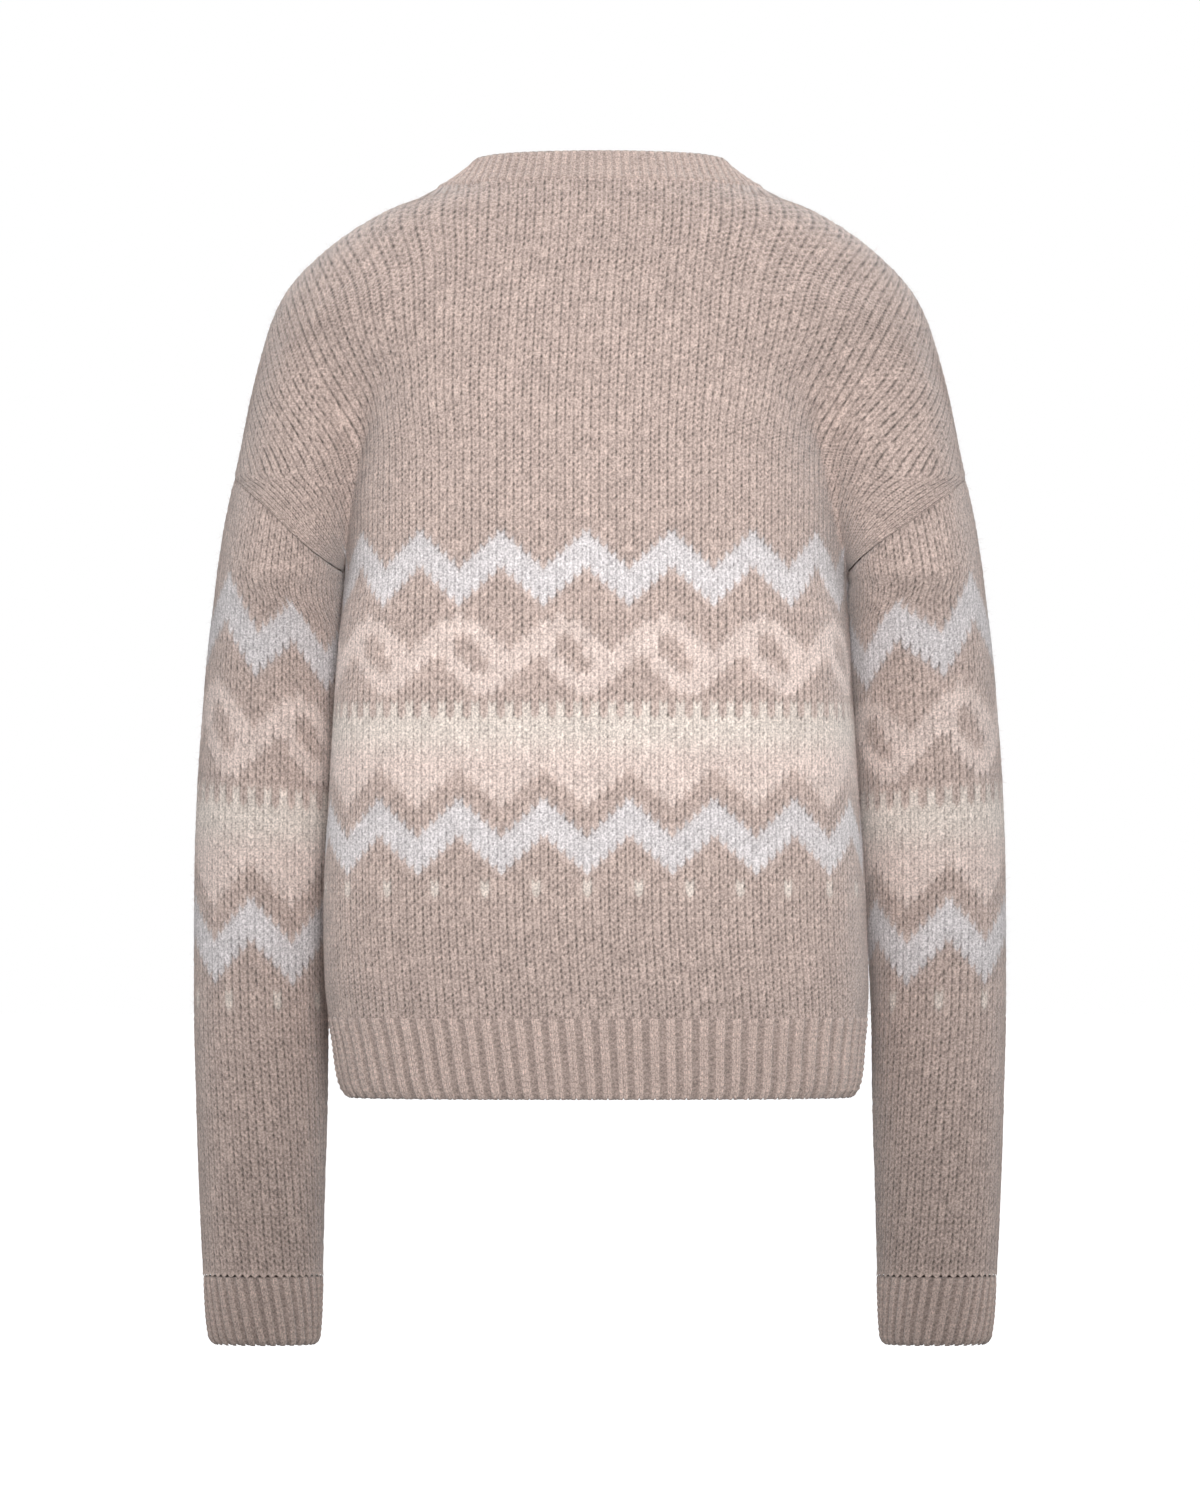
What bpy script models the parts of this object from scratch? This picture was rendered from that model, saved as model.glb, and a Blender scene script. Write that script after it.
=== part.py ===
"""A knitted cardigan in its worn, filled-out form: hollow body, sleeves, ribs, bands and buttons.

Frame: +Z up, +Y the garment's front, -Y its back, +X the wearer's right.
The origin is the middle of the neck, level with the shoulder tops. Units are metres.
"""

import math

import bmesh
import bpy
import numpy as np

# ---- cloth
WALL = 0.0030
SEAM_GAP = 0.0003
RIB_RISE = 0.0011

# ---- heights
HEM_BOTTOM = -0.5436
HEM_TOP = -0.4950
CUFF_BOTTOM = -0.6948
CUFF_TOP = -0.6528
UNDERARM = -0.2300
ARMHOLE_TOP = -0.1740
BACK_NECK_RISE = 0.0040
FRONT_NECK_DROP = 0.0660
NECK_HALF_WIDTH = 0.0984

# ---- side seam depth, rib pitches and counts
SEAM_Y = -0.0050
HEM_RIB_PITCH = 0.0097
CUFF_RIB_PITCH = 0.0075
NECK_RIB_PITCH = 0.0108

# ---- neckband
NECKBAND_WIDTH = 0.0245

# ---- button bands
BAND_WIDTH = 0.0306
UNDER_BAND_REACH = 0.0100
BAND_STEP = WALL + SEAM_GAP
BAND_RAMP = 0.0050

# ---- buttons
BUTTON_COUNT = 6
BUTTON_RADIUS = 0.0090
BUTTON_THICKNESS = 0.0034
BUTTON_HOLE_RADIUS = 0.0010
BUTTON_HOLE_REACH = 0.0023
BUTTON_X = -0.0028
BUTTON_TOP_Z = -0.0850
BUTTON_BOTTOM_Z = -0.5200

# ---- mesh divisions
BODY_COLUMNS = 11
CAPE_COLUMNS = 6
ARM_TURNS = (0, 24, 45, 64, 82, 98, 115, 132, 150, 166, 180)
SLEEVE_ROWS = 12

# ---- superellipse exponents of the torso's back and front
BACK_POWER = 2.5
FRONT_POWER = 2.3

TORSO_COLUMNS = ("z", "half_width", "back", "front", "widest_y")
TORSO = (
    (-0.5436, 0.1500, -0.1040, 0.1190, -0.020),
    (-0.5400, 0.1535, -0.1050, 0.1200, -0.020),
    (-0.5280, 0.1569, -0.1065, 0.1220, -0.020),
    (-0.5100, 0.1587, -0.1085, 0.1240, -0.022),
    (-0.4920, 0.1610, -0.1110, 0.1270, -0.025),
    (-0.4758, 0.1620, -0.1120, 0.1280, -0.028),
    (-0.4260, 0.1612, -0.1110, 0.1285, -0.030),
    (-0.3660, 0.1575, -0.1095, 0.1295, -0.033),
    (-0.3060, 0.1539, -0.1090, 0.1310, -0.035),
    (-0.2760, 0.1521, -0.1095, 0.1322, -0.030),
    (-0.2460, 0.1504, -0.1100, 0.1330, -0.018),
    (-0.2300, 0.1501, -0.1106, 0.1331, -0.005),
    (-0.1860, 0.1473, -0.1115, 0.1300, -0.005),
    (-0.1500, 0.1413, -0.1100, 0.1210, -0.005),
    (-0.1080, 0.1380, -0.1030, 0.0970, -0.005),
    (-0.0600, 0.1340, -0.0860, 0.0680, -0.005),
)

ARM_COLUMNS = ("z", "outer_x", "inner_x", "mid_y", "half_depth")
ARM = (
    (-0.6948, 0.2325, 0.1720, 0.0520, 0.0295),
    (-0.6915, 0.2358, 0.1692, 0.0518, 0.0318),
    (-0.6528, 0.2391, 0.1671, 0.0500, 0.0340),
    (-0.6180, 0.2409, 0.1662, 0.0485, 0.0358),
    (-0.5460, 0.2433, 0.1641, 0.0450, 0.0395),
    (-0.4920, 0.2445, 0.1632, 0.0420, 0.0425),
    (-0.4560, 0.2445, 0.1618, 0.0400, 0.0440),
    (-0.4260, 0.2443, 0.1602, 0.0385, 0.0450),
    (-0.3960, 0.2438, 0.1580, 0.0365, 0.0460),
    (-0.3540, 0.2420, 0.1548, 0.0330, 0.0478),
    (-0.3060, 0.2383, 0.1526, 0.0245, 0.0505),
    (-0.2760, 0.2355, 0.1518, 0.0160, 0.0530),
    (-0.2460, 0.2315, 0.1515, 0.0030, 0.0560),
    (-0.2360, 0.2302, 0.1512, -0.0025, 0.0569),
    (-0.2300, 0.2294, 0.1501, -0.0050, 0.0575),
    (-0.2000, 0.2247, 0.1390, -0.0045, 0.0580),
    (-0.1740, 0.2193, 0.1320, -0.0035, 0.0575),
    (-0.1500, 0.2145, 0.1265, -0.0025, 0.0560),
    (-0.1260, 0.2097, 0.1225, -0.0015, 0.0540),
    (-0.1020, 0.2040, 0.1180, -0.0005, 0.0515),
    (-0.0780, 0.1965, 0.1120, 0.0000, 0.0480),
    (-0.0600, 0.1870, 0.1050, 0.0000, 0.0450),
)

SHOULDER_COLUMNS = ("z", "tip_x", "tip_y", "back", "front", "power")
SHOULDER = (
    (-0.1400, 0.2125, -0.0020, -0.1085, 0.1150, 2.20),
    (-0.1260, 0.2097, -0.0015, -0.1065, 0.1070, 2.20),
    (-0.1020, 0.2040, -0.0005, -0.1020, 0.0935, 2.20),
    (-0.0900, 0.2007, 0.0000, -0.0980, 0.0865, 2.20),
    (-0.0780, 0.1965, 0.0000, -0.0935, 0.0790, 2.18),
    (-0.0660, 0.1911, 0.0000, -0.0885, 0.0715, 2.16),
    (-0.0540, 0.1827, 0.0000, -0.0830, 0.0660, 2.14),
    (-0.0420, 0.1713, 0.0000, -0.0780, 0.0610, 2.12),
    (-0.0300, 0.1572, 0.0000, -0.0720, 0.0560, 2.10),
    (-0.0180, 0.1386, 0.0000, -0.0650, 0.0510, 2.08),
    (-0.0060, 0.1140, 0.0000, -0.0570, 0.0465, 2.05),
    (0.0000, 0.0984, 0.0000, -0.0520, 0.0445, 2.02),
    (0.0060, 0.0900, 0.0000, -0.0475, 0.0420, 2.00),
)

CREASE_COLUMNS = ("z", "softness")
CREASE = (
    (-0.2300, 0.0015),
    (-0.2000, 0.0035),
    (-0.1740, 0.0065),
    (-0.1500, 0.0100),
    (-0.1260, 0.0170),
    (-0.1020, 0.0270),
    (-0.0600, 0.0340),
)

NECK_LEAN_COLUMNS = ("turn", "lean_degrees")
NECK_LEAN = (
    (0.00, 36.0),
    (0.25, 40.0),
    (0.50, 47.0),
    (0.75, 50.0),
    (1.00, 42.0),
)

TURN_COLUMNS = ("z", "shift")
TURN = (
    (-0.5436, 0.0000),
    (-0.4900, -0.0035),
    (-0.4300, -0.0072),
    (-0.3400, -0.0081),
    (-0.1500, -0.0081),
    (-0.0700, -0.0050),
    (0.0000, 0.0000),
    (0.0300, 0.0000),
)

FINISH_COLUMNS = ("name", "red", "green", "blue", "roughness")
FINISHES = (
    ("taupe_knit", 0.470, 0.372, 0.335, 0.95),
    ("taupe_rib", 0.440, 0.350, 0.318, 0.95),
    ("button_horn", 0.300, 0.215, 0.170, 0.40),
)


class Table:
    """A table with named columns, read by smooth monotone interpolation on its first column."""

    def __init__(self, columns, rows):
        ordered = sorted(rows)
        self.key = np.array([row[0] for row in ordered])
        self.values = {}
        self.slopes = {}
        for place, name in enumerate(columns[1:], start=1):
            v = np.array([row[place] for row in ordered])
            self.values[name] = v
            self.slopes[name] = self._slopes(v)

    def _slopes(self, v):
        step = np.diff(self.key)
        rise = np.diff(v) / step
        slope = np.zeros(len(v))
        slope[0] = rise[0]
        slope[-1] = rise[-1]
        for i in range(1, len(v) - 1):
            if rise[i - 1] * rise[i] > 0.0:
                first = 2.0 * step[i] + step[i - 1]
                second = step[i] + 2.0 * step[i - 1]
                slope[i] = (first + second) / (first / rise[i - 1] + second / rise[i])
        return slope

    def at(self, name, where):
        x = np.clip(np.asarray(where, float), self.key[0], self.key[-1])
        i = np.clip(np.searchsorted(self.key, x, side="right") - 1, 0, len(self.key) - 2)
        step = self.key[i + 1] - self.key[i]
        t = (x - self.key[i]) / step
        v = self.values[name]
        s = self.slopes[name]
        value = v[i] * (1 + 2 * t) * (1 - t) ** 2 + v[i + 1] * t * t * (3 - 2 * t)
        return value + step * (s[i] * t * (1 - t) ** 2 - s[i + 1] * t * t * (1 - t))


torso_table = Table(TORSO_COLUMNS, TORSO)
arm_table = Table(ARM_COLUMNS, ARM)
shoulder_table = Table(SHOULDER_COLUMNS, SHOULDER)
crease_table = Table(CREASE_COLUMNS, CREASE)
lean_table = Table(NECK_LEAN_COLUMNS, NECK_LEAN)
turn_table = Table(TURN_COLUMNS, TURN)


def ramp(value, low, high):
    """A soft step from 0 at low to 1 at high."""
    t = np.clip((np.asarray(value, float) - low) / (high - low), 0.0, 1.0)
    return t * t * (3.0 - 2.0 * t)


def lengths(points):
    """The running length along a line of points."""
    steps = np.linalg.norm(np.diff(points, axis=0), axis=1)
    return np.concatenate([[0.0], np.cumsum(steps)])


def resample(points, count):
    """The same line as count + 1 points, evenly spaced along it."""
    run = lengths(points)
    want = np.linspace(0.0, run[-1], count + 1)
    return np.stack([np.interp(want, run, points[:, k]) for k in range(points.shape[1])], axis=1)


def torso_quarter(z, face, count):
    """One quarter of the torso's ring, from the middle of the back (-1) or front (+1) to its side."""
    angle = np.linspace(0.0, math.pi / 2, count)
    power = BACK_POWER if face < 0 else FRONT_POWER
    side_y = float(torso_table.at("widest_y", z))
    depth = abs(float(torso_table.at("back" if face < 0 else "front", z)) - side_y)
    x = float(torso_table.at("half_width", z)) * np.sin(angle) ** (2 / power)
    y = side_y + face * depth * np.cos(angle) ** (2 / power)
    return np.stack([x, y], axis=1)


def torso_half(z, face, count=260):
    """The torso's half ring, from the middle of one face round to the middle of the other."""
    near = torso_quarter(z, face, count)
    far = torso_quarter(z, -face, count)[::-1]
    return np.concatenate([near, far[1:]])


def inside_torso(points, z):
    """Whether each point lies within the torso's ring."""
    side_y = float(torso_table.at("widest_y", z))
    across = np.abs(points[:, 0]) / float(torso_table.at("half_width", z))
    along = points[:, 1] - side_y
    back = abs(float(torso_table.at("back", z)) - side_y)
    front = abs(float(torso_table.at("front", z)) - side_y)
    rear = across**BACK_POWER + (np.abs(along) / back) ** BACK_POWER
    fore = across**FRONT_POWER + (np.abs(along) / front) ** FRONT_POWER
    return np.where(along < 0, rear, fore) < 1.0


def arm_ring(z):
    """The arm's ellipse: middle x, middle y, half width and half depth."""
    outer = float(arm_table.at("outer_x", z))
    inner = float(arm_table.at("inner_x", z))
    return (
        (outer + inner) / 2,
        float(arm_table.at("mid_y", z)),
        (outer - inner) / 2,
        float(arm_table.at("half_depth", z)),
    )


def arm_point(z, angle):
    """A point of the arm's ellipse, 0 at its outer side and a quarter turn at its back."""
    middle_x, middle_y, wide, deep = arm_ring(z)
    return np.array([middle_x + wide * math.cos(angle), middle_y - deep * math.sin(angle)])


def side_seam_point(z):
    """Where the side seam crosses the torso's ring, ending at the sleeve's inner side."""
    if abs(z - UNDERARM) < 1e-9:
        return arm_point(UNDERARM, math.pi)
    half = torso_half(z, -1)
    i = int(np.argmax(half[:, 1] >= SEAM_Y))
    t = (SEAM_Y - half[i - 1, 1]) / (half[i, 1] - half[i - 1, 1])
    return half[i - 1] + (half[i] - half[i - 1]) * t


SEAM_OUTER_X = float(arm_table.at("outer_x", ARMHOLE_TOP))
SEAM_INNER_X = float(arm_table.at("inner_x", UNDERARM))


def armhole_height(x):
    """The armhole seam's height at x."""
    t = (np.asarray(x) - SEAM_INNER_X) / (SEAM_OUTER_X - SEAM_INNER_X)
    return UNDERARM + (ARMHOLE_TOP - UNDERARM) * t


def armhole_x(z):
    """The armhole seam's x at a height."""
    t = (z - UNDERARM) / (ARMHOLE_TOP - UNDERARM)
    return SEAM_INNER_X + (SEAM_OUTER_X - SEAM_INNER_X) * t


def seam_level(angle):
    """The height at which the armhole seam meets the arm at this angle round it."""
    z = 0.5 * (UNDERARM + ARMHOLE_TOP)
    for _ in range(60):
        z = 0.5 * z + 0.5 * float(armhole_height(arm_point(z, angle)[0]))
    return z


def soften(points, corner, size, tip):
    """Rounds the corner where torso and arm meet, and keeps the line's end at the tip."""
    run = lengths(points)
    step = 0.0008
    count = max(int(run[-1] / step), 40)
    line = resample(points, count)
    step = run[-1] / count
    reach = int(3.0 * size / step) + 1
    weights = np.exp(-0.5 * (np.arange(-reach, reach + 1) * step / size) ** 2)
    weights /= weights.sum()
    start = 2 * line[0] - line[reach:0:-1]
    start[:, 1] = line[reach:0:-1, 1]
    end = line[-2 : -reach - 2 : -1].copy()
    end[:, 1] = 2 * line[-1, 1] - end[:, 1]
    padded = np.concatenate([start, line, end])
    smooth = np.stack([np.convolve(padded[:, k], weights, mode="valid") for k in (0, 1)], axis=1)
    along = np.linspace(0.0, run[-1], count + 1)
    near = np.exp(-0.5 * ((along - corner) / (2.2 * size)) ** 2)[:, None]
    line = line * (1 - near) + smooth * near
    pull = np.clip((along - corner) / (run[-1] - corner), 0.0, 1.0)[:, None]
    return line + (tip - line[-1]) * pull, along


def joined_section(z, face):
    """Torso and arm in one line from the middle to the arm's outer tip, and its corner's place."""
    torso = torso_half(z, face)
    middle_x, middle_y, wide, deep = arm_ring(z)
    arm_test = ((torso[:, 0] - middle_x) / wide) ** 2 + ((torso[:, 1] - middle_y) / deep) ** 2
    inside = np.nonzero(arm_test < 1.0)[0]
    stop = int(inside[0]) if len(inside) else int(np.argmin(arm_test))
    angle = np.linspace(math.pi, 0.0, 260)
    arm = np.stack([middle_x + wide * np.cos(angle), middle_y + face * deep * np.sin(angle)], axis=1)
    hidden = np.nonzero(inside_torso(arm, z))[0]
    go = int(hidden[-1]) + 1 if len(hidden) else 1
    first = torso[: max(stop, 2)]
    line = np.concatenate([first, arm[go:]])
    corner = lengths(first)[-1]
    return soften(line, corner, float(crease_table.at("softness", z)), arm[-1]) + (corner,)


def shoulder_section(z, face, count):
    """A plain quarter section under the shoulder ridge."""
    power = float(shoulder_table.at("power", z))
    tip_y = float(shoulder_table.at("tip_y", z))
    depth = abs(float(shoulder_table.at("back" if face < 0 else "front", z)) - tip_y)
    angle = np.linspace(0.0, math.pi / 2, count)
    x = float(shoulder_table.at("tip_x", z)) * np.sin(angle) ** (2 / power)
    y = tip_y + face * depth * np.cos(angle) ** (2 / power)
    return np.stack([x, y], axis=1)


def split_line(line, along, corner, stop=None):
    """The line cut at its corner, each part resampled to the body's and cape's columns."""
    end = along[-1] if stop is None else stop
    first = np.linspace(0.0, corner, BODY_COLUMNS + 1)
    second = np.linspace(corner, along[-1], CAPE_COLUMNS + 1)[1:]
    second = np.minimum(second, max(end, corner))
    where = np.concatenate([first, second])
    return np.stack([np.interp(where, along, line[:, k]) for k in (0, 1)], axis=1)


def section(z, face):
    """The half section of one face at a height, as columns from the middle to its outer edge."""
    if z <= UNDERARM + 1e-9:
        half = torso_half(z, face)
        seam = side_seam_point(z)
        past = half[:, 1] > SEAM_Y if face < 0 else half[:, 1] < SEAM_Y
        line = np.concatenate([half[: int(np.argmax(past))], [seam]])
        body = resample(line, BODY_COLUMNS)
        return np.concatenate([body, np.repeat(seam[None], CAPE_COLUMNS, axis=0)])
    share = float(ramp(z, -0.125, -0.065))
    low = None
    if share < 1.0:
        line, along, corner = joined_section(z, face)
        stop = None
        if z < ARMHOLE_TOP - 1e-9:
            past = (line[:, 0] >= armhole_x(z)) & (along > corner)
            i = int(np.argmax(past))
            t = (armhole_x(z) - line[i - 1, 0]) / (line[i, 0] - line[i - 1, 0])
            stop = along[i - 1] + (along[i] - along[i - 1]) * min(max(t, 0.0), 1.0)
        low = split_line(line, along, corner, stop)
        if stop is not None:
            middle_x, middle_y, wide, deep = arm_ring(z)
            across = (armhole_x(z) - middle_x) / wide
            edge_y = middle_y + face * deep * math.sqrt(max(1 - across**2, 0.0))
            met = np.linalg.norm(low - low[-1], axis=1) < 1e-9
            low[met] = (armhole_x(z), edge_y)
    if share > 0.0:
        line = shoulder_section(z, face, 260)
        along = lengths(line)
        high = split_line(line, along, 0.64 * along[-1])
        low = high if low is None else low * (1 - share) + high * share
    return low


def arm_turns():
    """The sleeve's columns from its outer side to its inner side, as turns round the arm."""
    return [math.radians(turn) for turn in ARM_TURNS]


def armhole_levels():
    """The heights of the body rows that meet the sleeve's columns, from the underarm up."""
    return [seam_level(turn) for turn in arm_turns()[::-1]]


def neck_front_x(z):
    """Half the front neckline's opening at a height below the shoulder tops."""
    drop = np.clip(-np.asarray(z, float) / FRONT_NECK_DROP, 0.0, 1.0)
    return NECK_HALF_WIDTH * (1.0 - drop**2.2) ** (1 / 2.2)


def front_edge_x(z):
    """Where a front panel begins: at the button band, or along the neckline."""
    edge = BAND_WIDTH / 2
    if z <= -FRONT_NECK_DROP:
        return edge
    return max(edge, float(neck_front_x(z)))


def body_levels():
    """All row heights of the body above the hem rib."""
    lower = list(np.linspace(HEM_TOP, -0.256, 6))
    hole = armhole_levels()
    upper = list(np.linspace(ARMHOLE_TOP, -0.100, 5))[1:]
    top = [-0.083, -0.066, -0.060, -0.048, -0.034, -0.021, -0.010, -0.003, 0.0]
    return lower + hole + upper + top


def back_half():
    """The back panel's right half: rows of points from the middle to its outer edge."""
    rows = []
    for z in body_levels():
        flat = section(z, -1)
        rows.append(np.column_stack([flat, np.full(len(flat), z)]))
    share = np.linspace(0.0, 1.0, len(rows[-1]))
    heights = BACK_NECK_RISE * (1.0 - share**2)
    top = []
    for k, z in enumerate(heights):
        flat = section(float(z), -1)[k]
        top.append((flat[0], flat[1], z))
    rows[-1] = np.array(top)
    return np.array(rows)


def cut_from(flat, x):
    """The part of a section beyond x, with the columns spread again over both of its parts."""
    corner = BODY_COLUMNS
    head = flat[: corner + 1]
    tail = flat[corner:]
    if x <= flat[corner, 0]:
        i = max(int(np.argmax(head[:, 0] > x)), 1)
        t = (x - head[i - 1, 0]) / (head[i, 0] - head[i - 1, 0])
        start = head[i - 1] + (head[i] - head[i - 1]) * t
        head = resample(np.concatenate([[start], head[i:]]), BODY_COLUMNS)
        return np.concatenate([head, tail[1:]])
    x = min(x, flat[-1, 0])
    i = max(int(np.argmax(tail[:, 0] >= x - 1e-12)), 1)
    t = (x - tail[i - 1, 0]) / max(tail[i, 0] - tail[i - 1, 0], 1e-9)
    start = tail[i - 1] + (tail[i] - tail[i - 1]) * min(t, 1.0)
    line = np.concatenate([[start], tail[i:]])
    return resample(line, BODY_COLUMNS + CAPE_COLUMNS)


def front_half():
    """A front panel: rows of points from its front edge or neckline to its outer edge."""
    rows = []
    for z in body_levels():
        flat = section(z, +1)
        flat = cut_from(flat, front_edge_x(z))
        rows.append(np.column_stack([flat, np.full(len(flat), z)]))
    return np.array(rows)


def sleeve_rings():
    """The right sleeve: rows down from the slanted armhole seam, columns once round."""
    half = arm_turns()
    turns = half + [2 * math.pi - turn for turn in half[-2:0:-1]]
    share = np.linspace(0.0, 1.0, SLEEVE_ROWS)
    share = 0.78 * share + 0.22 * share**2
    share = np.insert(share, 1, 0.018)
    rows = []
    for t in share:
        ring = []
        for turn in turns:
            around = turn if turn <= math.pi else 2 * math.pi - turn
            z = seam_level(around) * (1 - t) + CUFF_TOP * t
            point = arm_point(z, turn)
            ring.append((point[0], point[1], z))
        rows.append(ring)
    return np.array(rows)


def turned(points):
    """The body's back as it is turned a little under the neck, while sleeves and front stay."""
    p = np.array(points, float)
    back = 1.0 - ramp(p[..., 1], -0.100, 0.030)
    inner = 1.0 - ramp(np.abs(p[..., 0]), 0.160, 0.212)
    p[..., 0] += turn_table.at("shift", p[..., 2]) * back * inner
    return p


# ---- surfaces as faces over shared points


class Surface:
    """An outer sheet of quads over shared points, with the inner sheet found along its normals."""

    def __init__(self):
        self.points = []
        self.index = {}
        self.faces = {}

    def vertex(self, point):
        key = tuple(int(round(value * 2e5)) for value in point)
        if key not in self.index:
            self.index[key] = len(self.points)
            self.points.append(np.array(point, float))
        return self.index[key]

    def add_grid(self, name, grid, flip=False, closed=False):
        rows, columns = grid.shape[:2]
        ids = [[self.vertex(grid[r, c]) for c in range(columns)] for r in range(rows)]
        found = self.faces.setdefault(name, [])
        last = columns if closed else columns - 1
        for r in range(rows - 1):
            for c in range(last):
                d = (c + 1) % columns
                loop = [ids[r][c], ids[r][d], ids[r + 1][d], ids[r + 1][c]]
                clean = [v for k, v in enumerate(loop) if v != loop[k - 1]]
                if len(set(clean)) < 3 or len(set(clean)) != len(clean):
                    continue
                found.append(clean[::-1] if flip else clean)
        return ids

    def normals(self):
        points = np.array(self.points)
        total = np.zeros_like(points)
        for faces in self.faces.values():
            for loop in faces:
                corner = points[loop]
                middle = corner.mean(axis=0)
                for k in range(len(loop)):
                    a = corner[k - 1] - middle
                    b = corner[k] - middle
                    cross = np.cross(a, b)
                    total[loop[k]] += cross
                    total[loop[k - 1]] += cross
        size = np.linalg.norm(total, axis=1, keepdims=True)
        return total / np.maximum(size, 1e-12)


def boundary_edges(faces):
    """The directed edges used by one face only."""
    seen = {}
    for loop in faces:
        for k in range(len(loop)):
            edge = (loop[k - 1], loop[k])
            seen[edge] = True
    return [edge for edge in seen if (edge[1], edge[0]) not in seen]


def draw_back(points, faces, amount):
    """Each edge point of a piece, drawn back into the piece by half the seam's gap."""
    edges = boundary_edges(faces)
    rim = {v for edge in edges for v in edge}
    neighbours = {v: set() for v in rim}
    for loop in faces:
        for v in loop:
            if v in rim:
                neighbours[v].update(w for w in loop if w != v)
    moved = {}
    along = {v: [] for v in rim}
    for a, b in edges:
        along[a].append(b)
        along[b].append(a)
    for v in rim:
        inner = [points[w] for w in neighbours[v] if w not in rim]
        if not inner:
            inner = [points[w] for w in neighbours[v]]
        pull = np.mean(inner, axis=0) - points[v]
        sides = [points[w] - points[v] for w in along[v]]
        if len(sides) == 2:
            tangent = sides[0] - sides[1]
            tangent = tangent / max(np.linalg.norm(tangent), 1e-12)
            turn = np.dot(sides[0], sides[1])
            turn /= max(np.linalg.norm(sides[0]) * np.linalg.norm(sides[1]), 1e-12)
            if turn < -0.5:
                pull = pull - tangent * np.dot(pull, tangent)
        size = np.linalg.norm(pull)
        if size > 1e-9:
            moved[v] = points[v] + pull / size * min(amount, 0.4 * size)
    return moved


# ---- Blender objects


def make_object(name, points, faces, material):
    """One closed body from points and faces, its faces turned outwards."""
    mesh = bpy.data.meshes.new(name)
    mesh.from_pydata([tuple(p) for p in points], [], [tuple(f) for f in faces])
    mesh.validate()
    form = bmesh.new()
    form.from_mesh(mesh)
    bmesh.ops.recalc_face_normals(form, faces=form.faces)
    if form.calc_volume(signed=True) < 0.0:
        bmesh.ops.reverse_faces(form, faces=form.faces)
    form.to_mesh(mesh)
    form.free()
    mesh.materials.append(material)
    thing = bpy.data.objects.new(name, mesh)
    bpy.context.scene.collection.objects.link(thing)
    return thing


def wall_object(name, points, inner_points, faces, material, gap=SEAM_GAP + 0.0001):
    """A closed wall from an outer sheet's faces and the inner points under its points."""
    used = sorted({v for loop in faces for v in loop})
    place = {v: k for k, v in enumerate(used)}
    moved = draw_back(points, faces, gap / 2 + 0.00002)
    outer = []
    inner = []
    for v in used:
        shift = moved[v] - points[v] if v in moved else np.zeros(3)
        outer.append(points[v] + shift)
        inner.append(inner_points[v] + shift)
    count = len(used)
    all_faces = [[place[v] for v in loop] for loop in faces]
    all_faces += [[place[v] + count for v in reversed(loop)] for loop in faces]
    for a, b in boundary_edges(faces):
        first, second = place[a], place[b]
        if a < b:
            all_faces.append([second, first, second + count])
            all_faces.append([first, first + count, second + count])
        else:
            all_faces.append([second, first, first + count])
            all_faces.append([second, first + count, second + count])
    return make_object(name, turned(np.array(outer + inner)), all_faces, material)


def strip_object(name, rows, inner_rows, material, closed=False, per_rib=1):
    """A closed wall from outer rows and plainer inner rows, one inner column for each rib."""
    outer = np.array(rows)
    inner = np.array(inner_rows)
    points = [p for row in outer for p in row] + [p for row in inner for p in row]
    outer_rows, outer_columns = outer.shape[:2]
    in_rows, in_columns = inner.shape[:2]
    base = outer_rows * outer_columns

    def out(r, c):
        return r * outer_columns + c % outer_columns

    def into(r, c):
        return base + r * in_columns + c % in_columns

    faces = []
    spans = outer_columns if closed else outer_columns - 1
    for r in range(outer_rows - 1):
        for c in range(spans):
            faces.append([out(r, c), out(r, c + 1), out(r + 1, c + 1), out(r + 1, c)])
    in_spans = in_columns if closed else in_columns - 1
    for r in range(in_rows - 1):
        for c in range(in_spans):
            faces.append([into(r, c + 1), into(r, c), into(r + 1, c), into(r + 1, c + 1)])
    for end in (0, 1):
        r = (outer_rows - 1) * end
        s = (in_rows - 1) * end
        for c in range(in_spans):
            loop = [out(r, c * per_rib + k) for k in range(per_rib + 1)]
            loop += [into(s, c + 1), into(s, c)]
            faces.append(loop if end else loop[::-1])
    if not closed:
        for side in (0, 1):
            c = (outer_columns - 1) * side
            d = (in_columns - 1) * side
            loop = [out(r, c) for r in range(outer_rows)]
            loop += [into(r, d) for r in reversed(range(in_rows))]
            faces.append(loop if side else loop[::-1])
    return make_object(name, turned(np.array(points)), faces, material)


def rib_profile(count):
    """Rise of each outer column over a number of ribs: two low points, two high."""
    return np.tile([0.0, 1.0, 1.0, 0.0], count)


def flat_normals(line, closed=False):
    """The outward normals of a flat line of points that runs anticlockwise."""
    if closed:
        step = np.roll(line, -1, axis=0) - np.roll(line, 1, axis=0)
    else:
        step = np.gradient(line, axis=0)
    out = np.stack([step[:, 1], -step[:, 0]], axis=1)
    return out / np.maximum(np.linalg.norm(out, axis=1, keepdims=True), 1e-12)


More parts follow.
